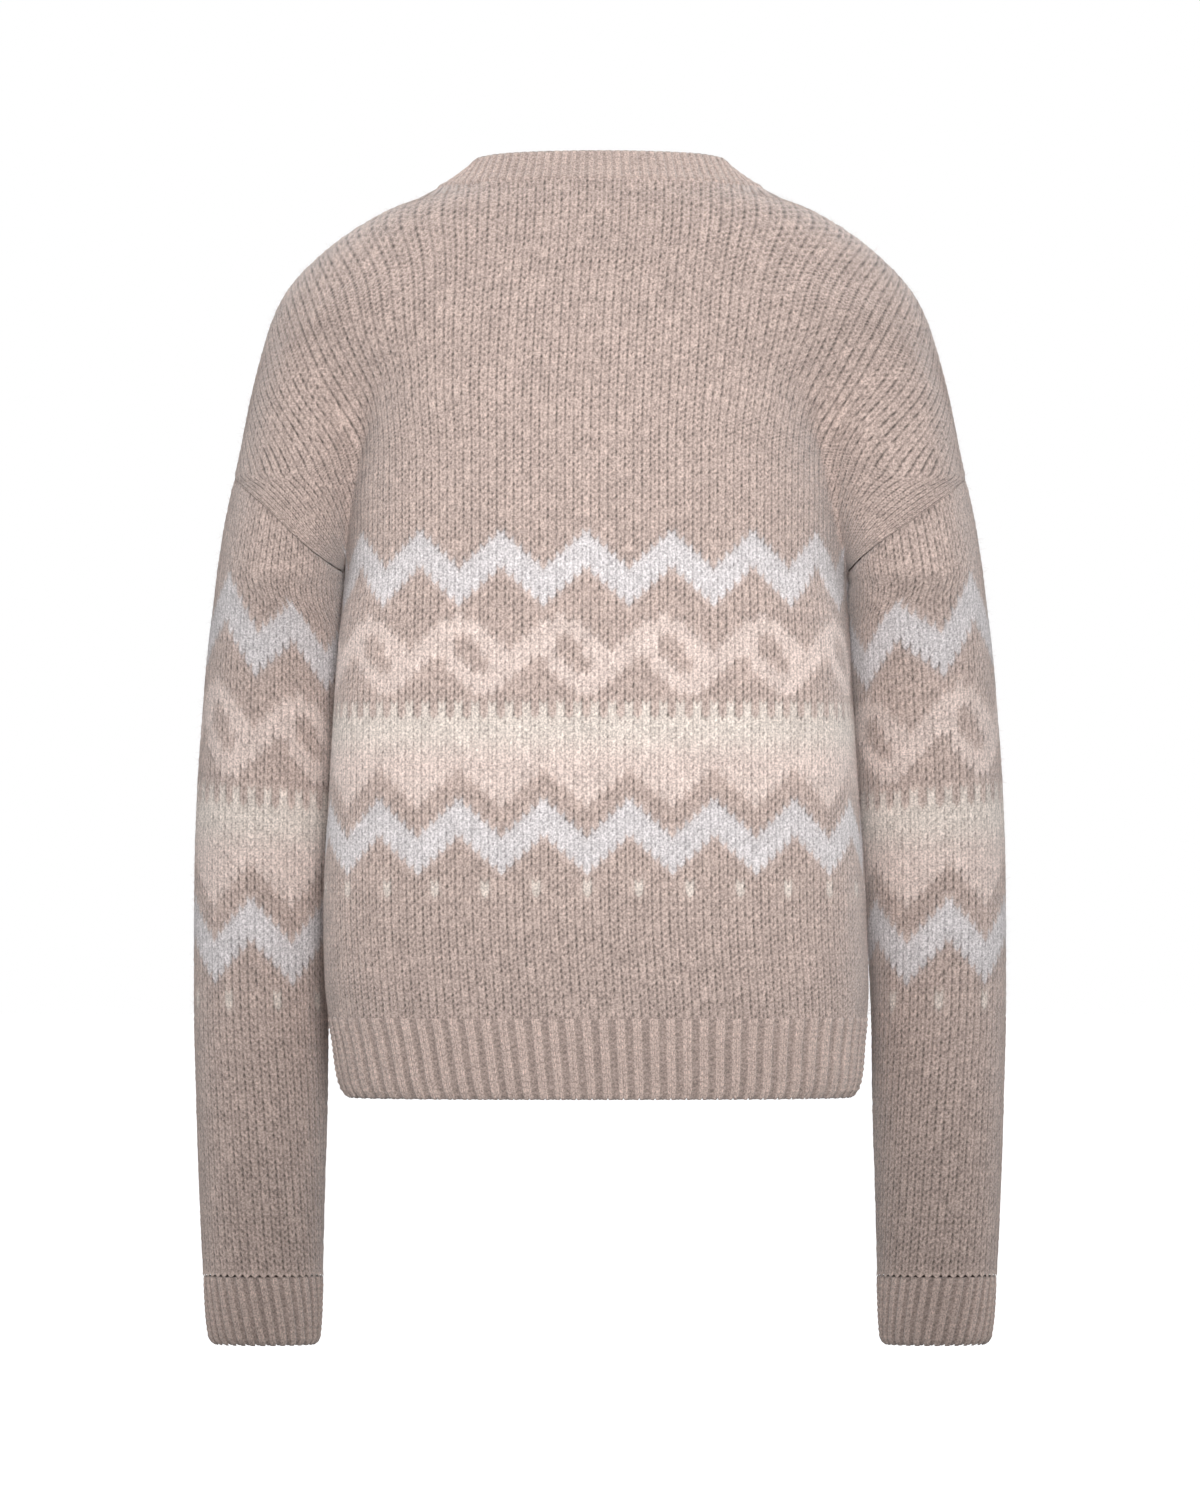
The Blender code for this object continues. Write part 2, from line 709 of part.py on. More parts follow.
def part_of_ring(z, start, stop, count):
    """Points and normals on the ring's right half between two marks: middle, seam or band."""
    line = torso_half(z, -1, 500)
    normal = flat_normals(line)
    run = lengths(line)
    seam = int(np.argmax(line[:, 1] >= SEAM_Y))
    t = (SEAM_Y - line[seam - 1, 1]) / (line[seam, 1] - line[seam - 1, 1])
    seam_run = run[seam - 1] + t * (run[seam] - run[seam - 1])
    fore = len(run) // 2 + int(np.argmax(line[len(run) // 2 :, 0] <= BAND_WIDTH / 2))
    marks = {"back": 0.0, "seam": seam_run, "band": run[fore]}
    half_gap = SEAM_GAP / 2 + 0.0001
    low = marks[start] + (0.0 if start == "back" else half_gap)
    high = marks[stop] - half_gap
    where = np.linspace(low, high, count)
    points = np.stack([np.interp(where, run, line[:, k]) for k in (0, 1)], axis=1)
    normals = np.stack([np.interp(where, run, normal[:, k]) for k in (0, 1)], axis=1)
    normals[np.abs(points[:, 0]) < 1e-9, 0] = 0.0
    if stop == "band":
        normals[-1, 0] = 0.0
    return points, normals / np.linalg.norm(normals, axis=1, keepdims=True), high - low


def hem_rows():
    """The heights of the hem rib's outer rows, from its top down."""
    return (HEM_TOP - SEAM_GAP, -0.5340, HEM_BOTTOM)


def ribbed(points, normals, rise, z):
    """Outer points of a ribbed row at a height."""
    out = points + normals * (RIB_RISE * rise)[:, None]
    return np.column_stack([out, np.full(len(out), z)])


def hem_back(material):
    """The back hem rib, between the side seams."""
    ribs = int(round(2 * part_of_ring(-0.52, "back", "seam", 9)[2] / HEM_RIB_PITCH))
    ribs += ribs % 2
    half = 2 * ribs + 1
    outer = []
    inner = []
    rise = rib_profile(ribs // 2 + 1)[2 : 2 + half]
    for z in hem_rows():
        points, normals, _ = part_of_ring(z, "back", "seam", half)
        row = ribbed(points, normals, rise, z)
        mirror = row[:0:-1] * np.array([-1.0, 1.0, 1.0])
        outer.append(np.concatenate([mirror, row]))
        into = points - normals * WALL
        into = np.column_stack([into, np.full(len(into), z)])[::4]
        inner.append(np.concatenate([into[:0:-1] * np.array([-1.0, 1.0, 1.0]), into]))
    return strip_object("hem_back", outer, [inner[0], inner[-1]], material, per_rib=4)


def hem_front(name, side, material):
    """A front hem rib, from the side seam to the button band."""
    ribs = int(round(part_of_ring(-0.52, "seam", "band", 9)[2] / HEM_RIB_PITCH))
    outer = []
    inner = []
    rise = np.append(rib_profile(ribs), 0.0)
    mirror = np.array([side, 1.0, 1.0])
    for z in hem_rows():
        points, normals, _ = part_of_ring(z, "seam", "band", 4 * ribs + 1)
        outer.append(ribbed(points, normals, rise, z) * mirror)
        into = points - normals * WALL
        inner.append(np.column_stack([into, np.full(len(into), z)])[::4] * mirror)
    return strip_object(name, outer, [inner[0], inner[-1]], material, per_rib=4)


def cuff(name, side, material):
    """A ribbed cuff, once round the sleeve's end."""
    middle_x, middle_y, wide, deep = arm_ring(-0.675)
    around = math.pi * (3 * (wide + deep) - math.sqrt((3 * wide + deep) * (wide + 3 * deep)))
    ribs = int(round(around / CUFF_RIB_PITCH))
    rise = rib_profile(ribs)
    outer = []
    inner = []
    for z in (CUFF_TOP - SEAM_GAP, -0.6905, CUFF_BOTTOM):
        angle = np.linspace(0.0, 2 * math.pi, 4 * ribs, endpoint=False)
        middle_x, middle_y, wide, deep = arm_ring(z)
        points = np.stack(
            [middle_x + wide * np.cos(angle), middle_y + deep * np.sin(angle)], axis=1
        )
        normals = flat_normals(points, closed=True)
        mirror = np.array([side, 1.0, 1.0])
        outer.append(ribbed(points, normals, rise, z) * mirror)
        into = points - normals * WALL
        inner.append(np.column_stack([into, np.full(len(into), z)])[::4] * mirror)
    return strip_object(name, outer, [inner[0], inner[-1]], material, closed=True, per_rib=4)


# ---- neckline and neckband


def neckline(back, front, count=300):
    """The neckline's right half along the panels' own edges, from the back's middle to the band."""
    edge = [point for point in front[::-1, 0] if point[2] > -FRONT_NECK_DROP - 1e-9]
    return resample(np.concatenate([back[-1], np.array(edge[1:])]), count)


def neckband_frame(line):
    """For each point of the neckline: the band's rise across it and its outward normal."""
    run = lengths(line)
    middle = int(np.argmax(line[:, 0]))
    spread = np.exp(-0.5 * (np.arange(-30, 31) / 9.0) ** 2)
    spread /= spread.sum()
    start = line[30:0:-1] * np.array([-1.0, 1.0, 1.0])
    end = line[-2:-32:-1] * np.array([-1.0, 1.0, 1.0]) + np.array([2 * line[-1, 0], 0.0, 0.0])
    long_line = np.concatenate([start, line, end])
    soft = [np.convolve(long_line[:, k], spread, mode="valid") for k in range(3)]
    line = np.stack(soft, axis=1)
    turn = np.where(
        run <= run[middle],
        0.5 * run / run[middle],
        0.5 + 0.5 * (run - run[middle]) / (run[-1] - run[middle]),
    )
    tangent = np.gradient(line, axis=0)
    tangent /= np.linalg.norm(tangent, axis=1, keepdims=True)
    flat = np.stack([tangent[:, 1], -tangent[:, 0]], axis=1)
    flat /= np.maximum(np.linalg.norm(flat, axis=1, keepdims=True), 1e-12)
    lean = np.radians(lean_table.at("lean_degrees", turn))
    rise = np.column_stack([-flat * np.sin(lean)[:, None], np.cos(lean)])
    rise -= tangent * np.sum(rise * tangent, axis=1, keepdims=True)
    rise /= np.linalg.norm(rise, axis=1, keepdims=True)
    close = ramp(run[-1] - run, 0.0, 0.012)
    rise[:, 0] *= close
    normal = np.cross(tangent, rise)
    normal[:, 0] *= close
    normal[0, 0] = 0.0
    rise[0, 0] = 0.0
    rise /= np.linalg.norm(rise, axis=1, keepdims=True)
    return rise, normal / np.linalg.norm(normal, axis=1, keepdims=True)


def neck_join(cloth, normals, back, front, line, outward):
    """Along the neckline, the direction of the wall's edge: between the panels' and the band's."""
    edge = [point for point in front[::-1, 0] if point[2] > -FRONT_NECK_DROP - 1e-9]
    knots = np.concatenate([back[-1], np.array(edge[1:])])
    found = np.array([normals[cloth.vertex(point)] for point in knots])
    run = lengths(line)
    where = lengths(knots) / lengths(knots)[-1] * run[-1]
    panel = np.stack([np.interp(run, where, found[:, k]) for k in range(3)], axis=1)
    both = np.stack(
        [np.interp(where, run, panel[:, k] + outward[:, k]) for k in range(3)], axis=1
    )
    both[0, 0] = 0.0
    both[-1, 0] = 0.0
    both /= np.linalg.norm(both, axis=1, keepdims=True)
    return np.stack([np.interp(run, where, both[:, k]) for k in range(3)], axis=1)


def neckband(line, join, material):
    """The ribbed neckband, from band to band round the back of the neck."""
    run = lengths(line)
    ribs = int(round(2 * run[-1] / NECK_RIB_PITCH))
    ribs += ribs % 2
    half = 2 * ribs + 1
    where = np.linspace(0.0, run[-1] - SEAM_GAP, half)
    rise, normal = neckband_frame(line)

    def along(values):
        found = np.stack([np.interp(where, run, values[:, k]) for k in range(3)], axis=1)
        return found

    base = along(line)
    up = along(rise)
    out = along(normal)
    joint = along(join)
    raised = rib_profile(ribs // 2 + 1)[2 : 2 + half]
    mirror = np.array([-1.0, 1.0, 1.0])

    def whole(half_row):
        return np.concatenate([half_row[:0:-1] * mirror, half_row])

    outer = []
    for share, lift in ((0.0, 0.45), (0.5, 1.0), (1.0, 0.45)):
        width = SEAM_GAP * 1.4 + (NECKBAND_WIDTH - SEAM_GAP) * share
        row = base + up * width + out * (RIB_RISE * lift * raised)[:, None]
        outer.append(whole(row))
    inner = []
    for share in (0.0, 1.0):
        width = SEAM_GAP * 1.4 + (NECKBAND_WIDTH - SEAM_GAP) * share
        side = joint if share == 0.0 else out
        inner.append(whole((base + up * width - side * WALL)[::4]))
    return strip_object("neckband", outer[::-1], inner[::-1], material, per_rib=4)


# ---- button bands


def centre_profile():
    """The middle of the front from the hem up over the neckband: y and z."""
    heights = np.concatenate(
        [(HEM_BOTTOM, -0.53, -0.47), np.linspace(-0.38, -0.10, 7), (-0.083, -FRONT_NECK_DROP)]
    )
    line = []
    for z in heights:
        if z <= UNDERARM:
            y = float(torso_table.at("front", z))
        else:
            y = float(section(float(z), +1)[0, 1])
        line.append((y, z))
    return np.array(line)


def band_path(neck_end, neck_rise):
    """The bands' path: the centre profile, then up the neckband's front end."""
    path = centre_profile()
    path = path[path[:, 1] < neck_end[2] - 0.004]
    end = neck_end[1:]
    rise = neck_rise[1:] / np.linalg.norm(neck_rise[1:])
    tail = [end + rise * NECKBAND_WIDTH * share for share in (0.0, 0.5, 1.0)]
    return np.concatenate([path, tail])


def path_normals(path):
    """Normals in the y-z plane, towards the front."""
    step = np.gradient(path, axis=0)
    out = np.stack([step[:, 1], -step[:, 0]], axis=1)
    return out / np.linalg.norm(out, axis=1, keepdims=True)


def button_band(name, path, stations, material):
    """A band along the path from stations of x, lift and rib rise across it."""
    normal = path_normals(path)
    outer = []
    inner = []
    for k in range(len(path)):
        row = []
        into = []
        soft = 0.4 if k in (0, len(path) - 1) else 1.0
        for x, lift, rise in stations:
            y, z = path[k] + normal[k] * (lift + RIB_RISE * rise * soft)
            row.append((x, y, z))
            y, z = path[k] + normal[k] * (lift - WALL)
            into.append((x, y, z))
        outer.append(row)
        inner.append(into)
    return strip_object(name, outer, inner, material)


def band_stations(left, right, ramp_from=None):
    """Stations across a band: plain if it lies under, else ribs and the ramp to the upper layer."""
    if ramp_from is None:
        return [(x, 0.0, 0.0) for x in (left, (left + right) / 2, right)]
    ribs = 3
    edges = np.linspace(left, right, 4 * ribs + 1)
    rises = np.append(np.tile([0.0, 1.0, 1.0, 0.0], ribs), 0.0)
    stations = []
    for x, rise in zip(edges, rises):
        lift = BAND_STEP * min(max((ramp_from - x) / BAND_RAMP, 0.0), 1.0)
        stations.append((float(x), lift, float(rise)))
    return stations


# ---- buttons


def button(name, centre, normal, material):
    """A round button with four sewing holes, its back towards the band."""
    sides = 16
    bpy.ops.mesh.primitive_cylinder_add(vertices=sides, radius=BUTTON_RADIUS, depth=BUTTON_THICKNESS)
    disc = bpy.context.active_object
    disc.name = name
    disc.data.name = name
    cutters = []
    for k in range(4):
        angle = math.pi / 4 + k * math.pi / 2
        place = (
            BUTTON_HOLE_REACH * math.cos(angle) * 0.9,
            BUTTON_HOLE_REACH * math.sin(angle) * 0.9,
            0.0,
        )
        bpy.ops.mesh.primitive_cylinder_add(
            vertices=5, radius=BUTTON_HOLE_RADIUS, depth=3 * BUTTON_THICKNESS, location=place
        )
        cutters.append(bpy.context.active_object)
    for cutter in cutters:
        cut = disc.modifiers.new("hole", "BOOLEAN")
        cut.operation = "DIFFERENCE"
        cut.solver = "EXACT"
        cut.object = cutter
        bpy.context.view_layer.objects.active = disc
        bpy.ops.object.modifier_apply(modifier=cut.name)
        bpy.data.objects.remove(cutter)
    lean = math.atan2(normal[1], normal[0])
    turn_x = -(math.pi / 2 - lean)
    cosine, sine = math.cos(turn_x), math.sin(turn_x)
    for vertex in disc.data.vertices:
        x, y, z = vertex.co
        vertex.co = (
            x + centre[0],
            y * cosine - z * sine + centre[1],
            y * sine + z * cosine + centre[2],
        )
    disc.data.materials.clear()
    disc.data.materials.append(material)
    return disc


# ---- materials


def make_materials():
    """One material for each row of the finishes."""
    made = {}
    for name, red, green, blue, rough in FINISHES:
        material = bpy.data.materials.new(name)
        material.use_nodes = True
        shader = material.node_tree.nodes["Principled BSDF"]
        shader.inputs["Base Color"].default_value = (red, green, blue, 1.0)
        shader.inputs["Roughness"].default_value = rough
        made[name] = material
    return made


def mirrored(grid):
    """The same grid on the other side, its columns in the same order."""
    return grid * np.array([-1.0, 1.0, 1.0])


def main():
    for thing in list(bpy.data.objects):
        bpy.data.objects.remove(thing)
    finish = make_materials()
    knit = finish["taupe_knit"]
    rib = finish["taupe_rib"]

    back = back_half()
    whole_back = np.concatenate([mirrored(back)[:, :0:-1], back], axis=1)
    front = front_half()
    sleeve = sleeve_rings()

    cloth = Surface()
    cloth.add_grid("back", whole_back)
    cloth.add_grid("front_right", front, flip=True)
    cloth.add_grid("front_left", mirrored(front))
    cloth.add_grid("sleeve_right", sleeve, closed=True)
    cloth.add_grid("sleeve_left", mirrored(sleeve), flip=True, closed=True)

    points = np.array(cloth.points)
    normals = cloth.normals()
    opening = np.abs(np.abs(points[:, 0]) - BAND_WIDTH / 2) < 1e-6
    opening &= (points[:, 1] > 0.0) & (points[:, 2] < -FRONT_NECK_DROP + 0.002)
    normals[opening, 0] = 0.0
    for side in (1.0, -1.0):
        pit = arm_point(UNDERARM, math.pi)
        v = cloth.vertex((side * pit[0], pit[1], UNDERARM))
        normals[v] = (0.0, 0.0, -1.0)
    low = np.abs(points[:, 2] - HEM_TOP) < 1e-6
    wrist = np.abs(points[:, 2] - CUFF_TOP) < 1e-6
    normals[low | wrist, 2] = 0.0
    normals /= np.linalg.norm(normals, axis=1, keepdims=True)

    line = neckline(back, front)
    rise, outward = neckband_frame(line)
    join = neck_join(cloth, normals, back, front, line, outward)
    for k in range(len(line)):
        for side in (1.0, -1.0):
            flip = np.array([side, 1.0, 1.0])
            v = int(np.argmin(np.linalg.norm(points - line[k] * flip, axis=1)))
            run_gap = np.linalg.norm(points[v] - line * flip, axis=1)
            if int(np.argmin(run_gap)) == k and run_gap[k] < 0.0012:
                normals[v] = join[k] * flip

    inner = points - normals * WALL
    for name, faces in cloth.faces.items():
        wall_object(name, points, inner, faces, knit)

    hem_back(rib)
    hem_front("hem_front_right", 1.0, rib)
    hem_front("hem_front_left", -1.0, rib)
    cuff("cuff_right", 1.0, rib)
    cuff("cuff_left", -1.0, rib)
    neckband(line, join, rib)

    path = band_path(line[-1], rise[-1])
    half = BAND_WIDTH / 2 - SEAM_GAP / 2
    button_band("band_left", path, band_stations(-half, UNDER_BAND_REACH), rib)
    button_band("band_right", path, band_stations(-half, half, ramp_from=half), rib)

    normal = path_normals(path)
    heights = np.linspace(BUTTON_TOP_Z, BUTTON_BOTTOM_Z, BUTTON_COUNT)
    for number, z in enumerate(heights, start=1):
        y = np.interp(z, path[:, 1], path[:, 0])
        facing = np.array([np.interp(z, path[:, 1], normal[:, k]) for k in (0, 1)])
        facing /= np.linalg.norm(facing)
        lift = BAND_STEP + RIB_RISE + 2 * SEAM_GAP + BUTTON_THICKNESS / 2
        centre = (BUTTON_X, y + facing[0] * lift, z + facing[1] * lift)
        button(f"button_{number}", centre, facing, finish["button_horn"])


main()
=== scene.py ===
"""The looks of a worn-form knitted cardigan: stitches, ribs, yoke pattern, bands and buttons.

Frame: +Z up, +Y the garment's front, -Y its back, +X the wearer's right. Units are metres.
The knitting is laid out stitch by stitch: columns of the meshes are wales, rows are courses.
"""

import logging
import math
from dataclasses import dataclass, field
from enum import Enum
from typing import Any, Callable, Sequence

import bpy
import numpy as np
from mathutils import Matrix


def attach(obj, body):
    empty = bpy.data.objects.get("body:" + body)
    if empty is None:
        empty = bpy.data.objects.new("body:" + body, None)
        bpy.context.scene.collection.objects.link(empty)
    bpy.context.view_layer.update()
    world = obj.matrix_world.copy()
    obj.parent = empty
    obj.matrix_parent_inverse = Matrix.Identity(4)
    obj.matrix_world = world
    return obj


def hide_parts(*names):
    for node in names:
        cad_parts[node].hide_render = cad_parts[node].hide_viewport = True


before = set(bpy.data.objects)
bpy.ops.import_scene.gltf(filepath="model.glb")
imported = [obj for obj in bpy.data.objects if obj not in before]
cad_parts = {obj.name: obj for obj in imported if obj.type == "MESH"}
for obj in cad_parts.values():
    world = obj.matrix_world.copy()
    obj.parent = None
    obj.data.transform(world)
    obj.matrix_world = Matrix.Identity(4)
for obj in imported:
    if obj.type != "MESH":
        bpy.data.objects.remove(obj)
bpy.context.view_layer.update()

ArrayLike = Any
LOG = logging.getLogger("cardigan")
MIRROR = np.array([-1.0, 1.0, 1.0])
SIDES = {1: "right", -1: "left"}
HEATHER_DRAWS = 4096
HEATHER_STRIDES = (131, 977, 613)
HEATHER_CHANGE = 0.035
TINY = 1e-12

EXIT_COLUMNS = ("z", "last_wale")
EXIT_ROWS = (
    (-0.6000, 0.2484),
    (-0.1740, 0.2484),
    (-0.1450, 0.2320),
    (-0.1200, 0.2120),
    (-0.0660, 0.1690),
    (-0.0264, 0.1230),
    (0.0000, 0.0970),
    (0.0300, 0.0500),
)

SPREAD_COLUMNS = ("z", "power")
SPREAD_ROWS = (
    (-0.2400, 5.4),
    (-0.1740, 5.2),
    (-0.1200, 2.8),
    (-0.0300, 4.5),
)

TORSO_COLUMNS = ("z", "half_width", "back", "front", "widest_y")
TORSO_ROWS = (
    (-0.5436, 0.1500, -0.1040, 0.1190, -0.020),
    (-0.5400, 0.1535, -0.1050, 0.1200, -0.020),
    (-0.5280, 0.1569, -0.1065, 0.1220, -0.020),
    (-0.5100, 0.1587, -0.1085, 0.1240, -0.022),
    (-0.4920, 0.1610, -0.1110, 0.1270, -0.025),
    (-0.4758, 0.1620, -0.1120, 0.1280, -0.028),
    (-0.4260, 0.1612, -0.1110, 0.1285, -0.030),
    (-0.3660, 0.1575, -0.1095, 0.1295, -0.033),
    (-0.3060, 0.1539, -0.1090, 0.1310, -0.035),
    (-0.2760, 0.1521, -0.1095, 0.1322, -0.030),
    (-0.2460, 0.1504, -0.1100, 0.1330, -0.018),
    (-0.2300, 0.1501, -0.1106, 0.1331, -0.005),
    (-0.1860, 0.1473, -0.1115, 0.1300, -0.005),
    (-0.1500, 0.1413, -0.1100, 0.1210, -0.005),
    (-0.1080, 0.1380, -0.1030, 0.0970, -0.005),
    (-0.0600, 0.1340, -0.0860, 0.0680, -0.005),
)

ARM_COLUMNS = ("z", "outer_x", "inner_x", "mid_y", "half_depth")
ARM_ROWS = (
    (-0.6948, 0.2325, 0.1720, 0.0520, 0.0295),
    (-0.6915, 0.2358, 0.1692, 0.0518, 0.0318),
    (-0.6528, 0.2391, 0.1671, 0.0500, 0.0340),
    (-0.6180, 0.2409, 0.1662, 0.0485, 0.0358),
    (-0.5460, 0.2433, 0.1641, 0.0450, 0.0395),
    (-0.4920, 0.2445, 0.1632, 0.0420, 0.0425),
    (-0.4560, 0.2445, 0.1612, 0.0400, 0.0440),
    (-0.4260, 0.2443, 0.1584, 0.0385, 0.0450),
    (-0.3960, 0.2438, 0.1556, 0.0365, 0.0460),
    (-0.3540, 0.2420, 0.1522, 0.0330, 0.0478),
    (-0.3060, 0.2383, 0.1500, 0.0245, 0.0505),
    (-0.2760, 0.2355, 0.1492, 0.0160, 0.0530),
    (-0.2460, 0.2315, 0.1495, 0.0030, 0.0560),
    (-0.2360, 0.2302, 0.1512, -0.0025, 0.0569),
    (-0.2300, 0.2294, 0.1501, -0.0050, 0.0575),
    (-0.2000, 0.2247, 0.1390, -0.0045, 0.0580),
    (-0.1740, 0.2193, 0.1320, -0.0035, 0.0575),
    (-0.1500, 0.2145, 0.1265, -0.0025, 0.0560),
    (-0.1260, 0.2097, 0.1225, -0.0015, 0.0540),
    (-0.1020, 0.2040, 0.1180, -0.0005, 0.0515),
    (-0.0780, 0.1965, 0.1120, 0.0000, 0.0480),
    (-0.0600, 0.1870, 0.1050, 0.0000, 0.0450),
)

SHOULDER_COLUMNS = ("z", "tip_x", "tip_y", "back", "front", "power")
SHOULDER_ROWS = (
    (-0.1400, 0.2125, -0.0020, -0.1085, 0.1150, 2.20),
    (-0.1260, 0.2097, -0.0015, -0.1065, 0.1070, 2.20),
    (-0.1020, 0.2040, -0.0005, -0.1020, 0.0935, 2.20),
    (-0.0900, 0.2007, 0.0000, -0.0980, 0.0865, 2.20),
    (-0.0780, 0.1965, 0.0000, -0.0935, 0.0790, 2.18),
    (-0.0660, 0.1911, 0.0000, -0.0885, 0.0715, 2.16),
    (-0.0540, 0.1827, 0.0000, -0.0830, 0.0660, 2.14),
    (-0.0420, 0.1713, 0.0000, -0.0780, 0.0610, 2.12),
    (-0.0300, 0.1572, 0.0000, -0.0720, 0.0560, 2.10),
    (-0.0180, 0.1386, 0.0000, -0.0650, 0.0510, 2.08),
    (-0.0060, 0.1140, 0.0000, -0.0570, 0.0465, 2.05),
    (0.0000, 0.0984, 0.0000, -0.0520, 0.0445, 2.02),
    (0.0060, 0.0900, 0.0000, -0.0475, 0.0420, 2.00),
)

CREASE_COLUMNS = ("z", "softness")
CREASE_ROWS = (
    (-0.2300, 0.0015),
    (-0.2000, 0.0035),
    (-0.1740, 0.0065),
    (-0.1500, 0.0100),
    (-0.1260, 0.0170),
    (-0.1020, 0.0270),
    (-0.0600, 0.0340),
)

NECK_LEAN_COLUMNS = ("turn", "lean_degrees")
NECK_LEAN_ROWS = (
    (0.00, 41.0),
    (0.25, 41.0),
    (0.37, 45.0),
    (0.44, 54.0),
    (0.50, 57.0),
    (0.75, 53.0),
    (1.00, 42.0),
)

TURN_COLUMNS = ("z", "shift")
TURN_ROWS = (
    (-0.5436, 0.0000),
    (-0.4900, -0.0035),
    (-0.4300, -0.0072),
    (-0.3400, -0.0081),
    (-0.1500, -0.0081),
    (-0.0700, -0.0050),
    (0.0000, 0.0000),
    (0.0300, 0.0000),
)


class Table:
    """A short table with named columns, read by smooth monotone interpolation on its first column."""

    def __init__(self, columns: Sequence[str], rows: Sequence[Sequence[float]]) -> None:
        """Keeps the rows in order and works out the slopes between them.

        Args:
            columns: The names of the columns, the first being the key.
            rows: The rows, in any order.
        """
        ordered = sorted(rows)
        self.key = np.array([row[0] for row in ordered])
        self.values: dict[str, np.ndarray] = {}
        self.slopes: dict[str, np.ndarray] = {}
        for place, name in enumerate(columns[1:], start=1):
            value = np.array([row[place] for row in ordered])
            self.values[name] = value
            self.slopes[name] = self._slopes(value)

    def _slopes(self, value: np.ndarray) -> np.ndarray:
        """The slope at each row, flat where the values turn."""
        step = np.diff(self.key)
        rise = np.diff(value) / step
        slope = np.zeros(len(value))
        slope[0] = rise[0]
        slope[-1] = rise[-1]
        for i in range(1, len(value) - 1):
            if rise[i - 1] * rise[i] > 0.0:
                first = 2.0 * step[i] + step[i - 1]
                second = step[i] + 2.0 * step[i - 1]
                slope[i] = (first + second) / (first / rise[i - 1] + second / rise[i])
        return slope

    def at(self, name: str, where: ArrayLike) -> np.ndarray:
        """The column's value at one or more keys."""
        x = np.clip(np.asarray(where, float), self.key[0], self.key[-1])
        i = np.clip(np.searchsorted(self.key, x, side="right") - 1, 0, len(self.key) - 2)
        step = self.key[i + 1] - self.key[i]
        t = (x - self.key[i]) / step
        v = self.values[name]
        s = self.slopes[name]
        value = v[i] * (1 + 2 * t) * (1 - t) ** 2 + v[i + 1] * t * t * (3 - 2 * t)
        return value + step * (s[i] * t * (1 - t) ** 2 - s[i + 1] * t * t * (1 - t))


EXIT = Table(EXIT_COLUMNS, EXIT_ROWS)
SPREAD = Table(SPREAD_COLUMNS, SPREAD_ROWS)
TORSO = Table(TORSO_COLUMNS, TORSO_ROWS)
ARM = Table(ARM_COLUMNS, ARM_ROWS)
SHOULDER = Table(SHOULDER_COLUMNS, SHOULDER_ROWS)
CREASE = Table(CREASE_COLUMNS, CREASE_ROWS)
NECK_LEAN = Table(NECK_LEAN_COLUMNS, NECK_LEAN_ROWS)
TURN = Table(TURN_COLUMNS, TURN_ROWS)


def ramp(value: ArrayLike, low: float, high: float) -> np.ndarray:
    """A soft step from 0 at low to 1 at high."""
    t = np.clip((np.asarray(value, float) - low) / (high - low), 0.0, 1.0)
    return t * t * (3.0 - 2.0 * t)


def running_length(points: np.ndarray) -> np.ndarray:
    """The running length along a line of points."""
    steps = np.linalg.norm(np.diff(points, axis=0), axis=1)
    return np.concatenate([[0.0], np.cumsum(steps)])


def even_points(points: np.ndarray, count: int) -> np.ndarray:
    """The same line as count + 1 points, evenly spaced along it."""
    run = running_length(points)
    return points_at(points, run, np.linspace(0.0, run[-1], count + 1))


def points_at(points: np.ndarray, run: np.ndarray, where: np.ndarray) -> np.ndarray:
    """The places on a line of points at the given running lengths."""
    return np.stack([np.interp(where, run, column) for column in points.T], axis=1)


def bell(steps: np.ndarray, width: float) -> np.ndarray:
    """Weights that fall off as a bell curve and add up to one."""
    weights = np.exp(-0.5 * (steps / width) ** 2)
    return weights / weights.sum()


def smoothed(points: np.ndarray, weights: np.ndarray) -> np.ndarray:
    """A line of points, each averaged with its neighbours by the weights."""
    return np.stack([np.convolve(column, weights, mode="valid") for column in points.T], axis=1)


def hump(distance: ArrayLike, reach: float) -> np.ndarray:
    """A soft hump, 1 at no distance and nearly gone at twice the reach."""
    return np.exp(-((distance / reach) ** 2))


def unit(vectors: np.ndarray) -> np.ndarray:
    """The same vectors, each one long."""
    return vectors / np.maximum(np.linalg.norm(vectors, axis=-1, keepdims=True), TINY)


def doubled(half: np.ndarray, flip: ArrayLike = None) -> np.ndarray:
    """A half with its mirror image before it, sharing the middle."""
    image = half[:0:-1]
    return np.concatenate([image if flip is None else image * flip, half])


def between(grid: np.ndarray, row: np.ndarray, column: np.ndarray) -> np.ndarray:
    """A grid of points read between its rows and columns.

    Args:
        grid: Rows of points.
        row: Places among the rows, whole at a row.
        column: Places among the columns, whole at a column.

    Returns:
        One point for each place.
    """
    k = np.clip(row.astype(int), 0, grid.shape[0] - 2)
    i = np.clip(column.astype(int), 0, grid.shape[1] - 2)
    a = (column - i)[..., None]
    b = (row - k)[..., None]
    low = grid[k, i] * (1 - a) + grid[k, i + 1] * a
    high = grid[k + 1, i] * (1 - a) + grid[k + 1, i + 1] * a
    return low * (1 - b) + high * b


def oval_quarter(wide: float, deep: float, power: float, y: float, face: int, count: int) -> np.ndarray:
    """A quarter of a squared oval.

    Args:
        wide: Its half width.
        deep: Its half depth.
        power: 2 for an ellipse, more for a squarer form.
        y: The y of its widest place.
        face: -1 for the back, 1 for the front.
        count: The number of points.

    Returns:
        Points from the middle of the face to the side.
    """
    angle = np.linspace(0.0, math.pi / 2, count)
    across = wide * np.sin(angle) ** (2 / power)
    along = y + face * deep * np.cos(angle) ** (2 / power)
    return np.stack([across, along], axis=1)


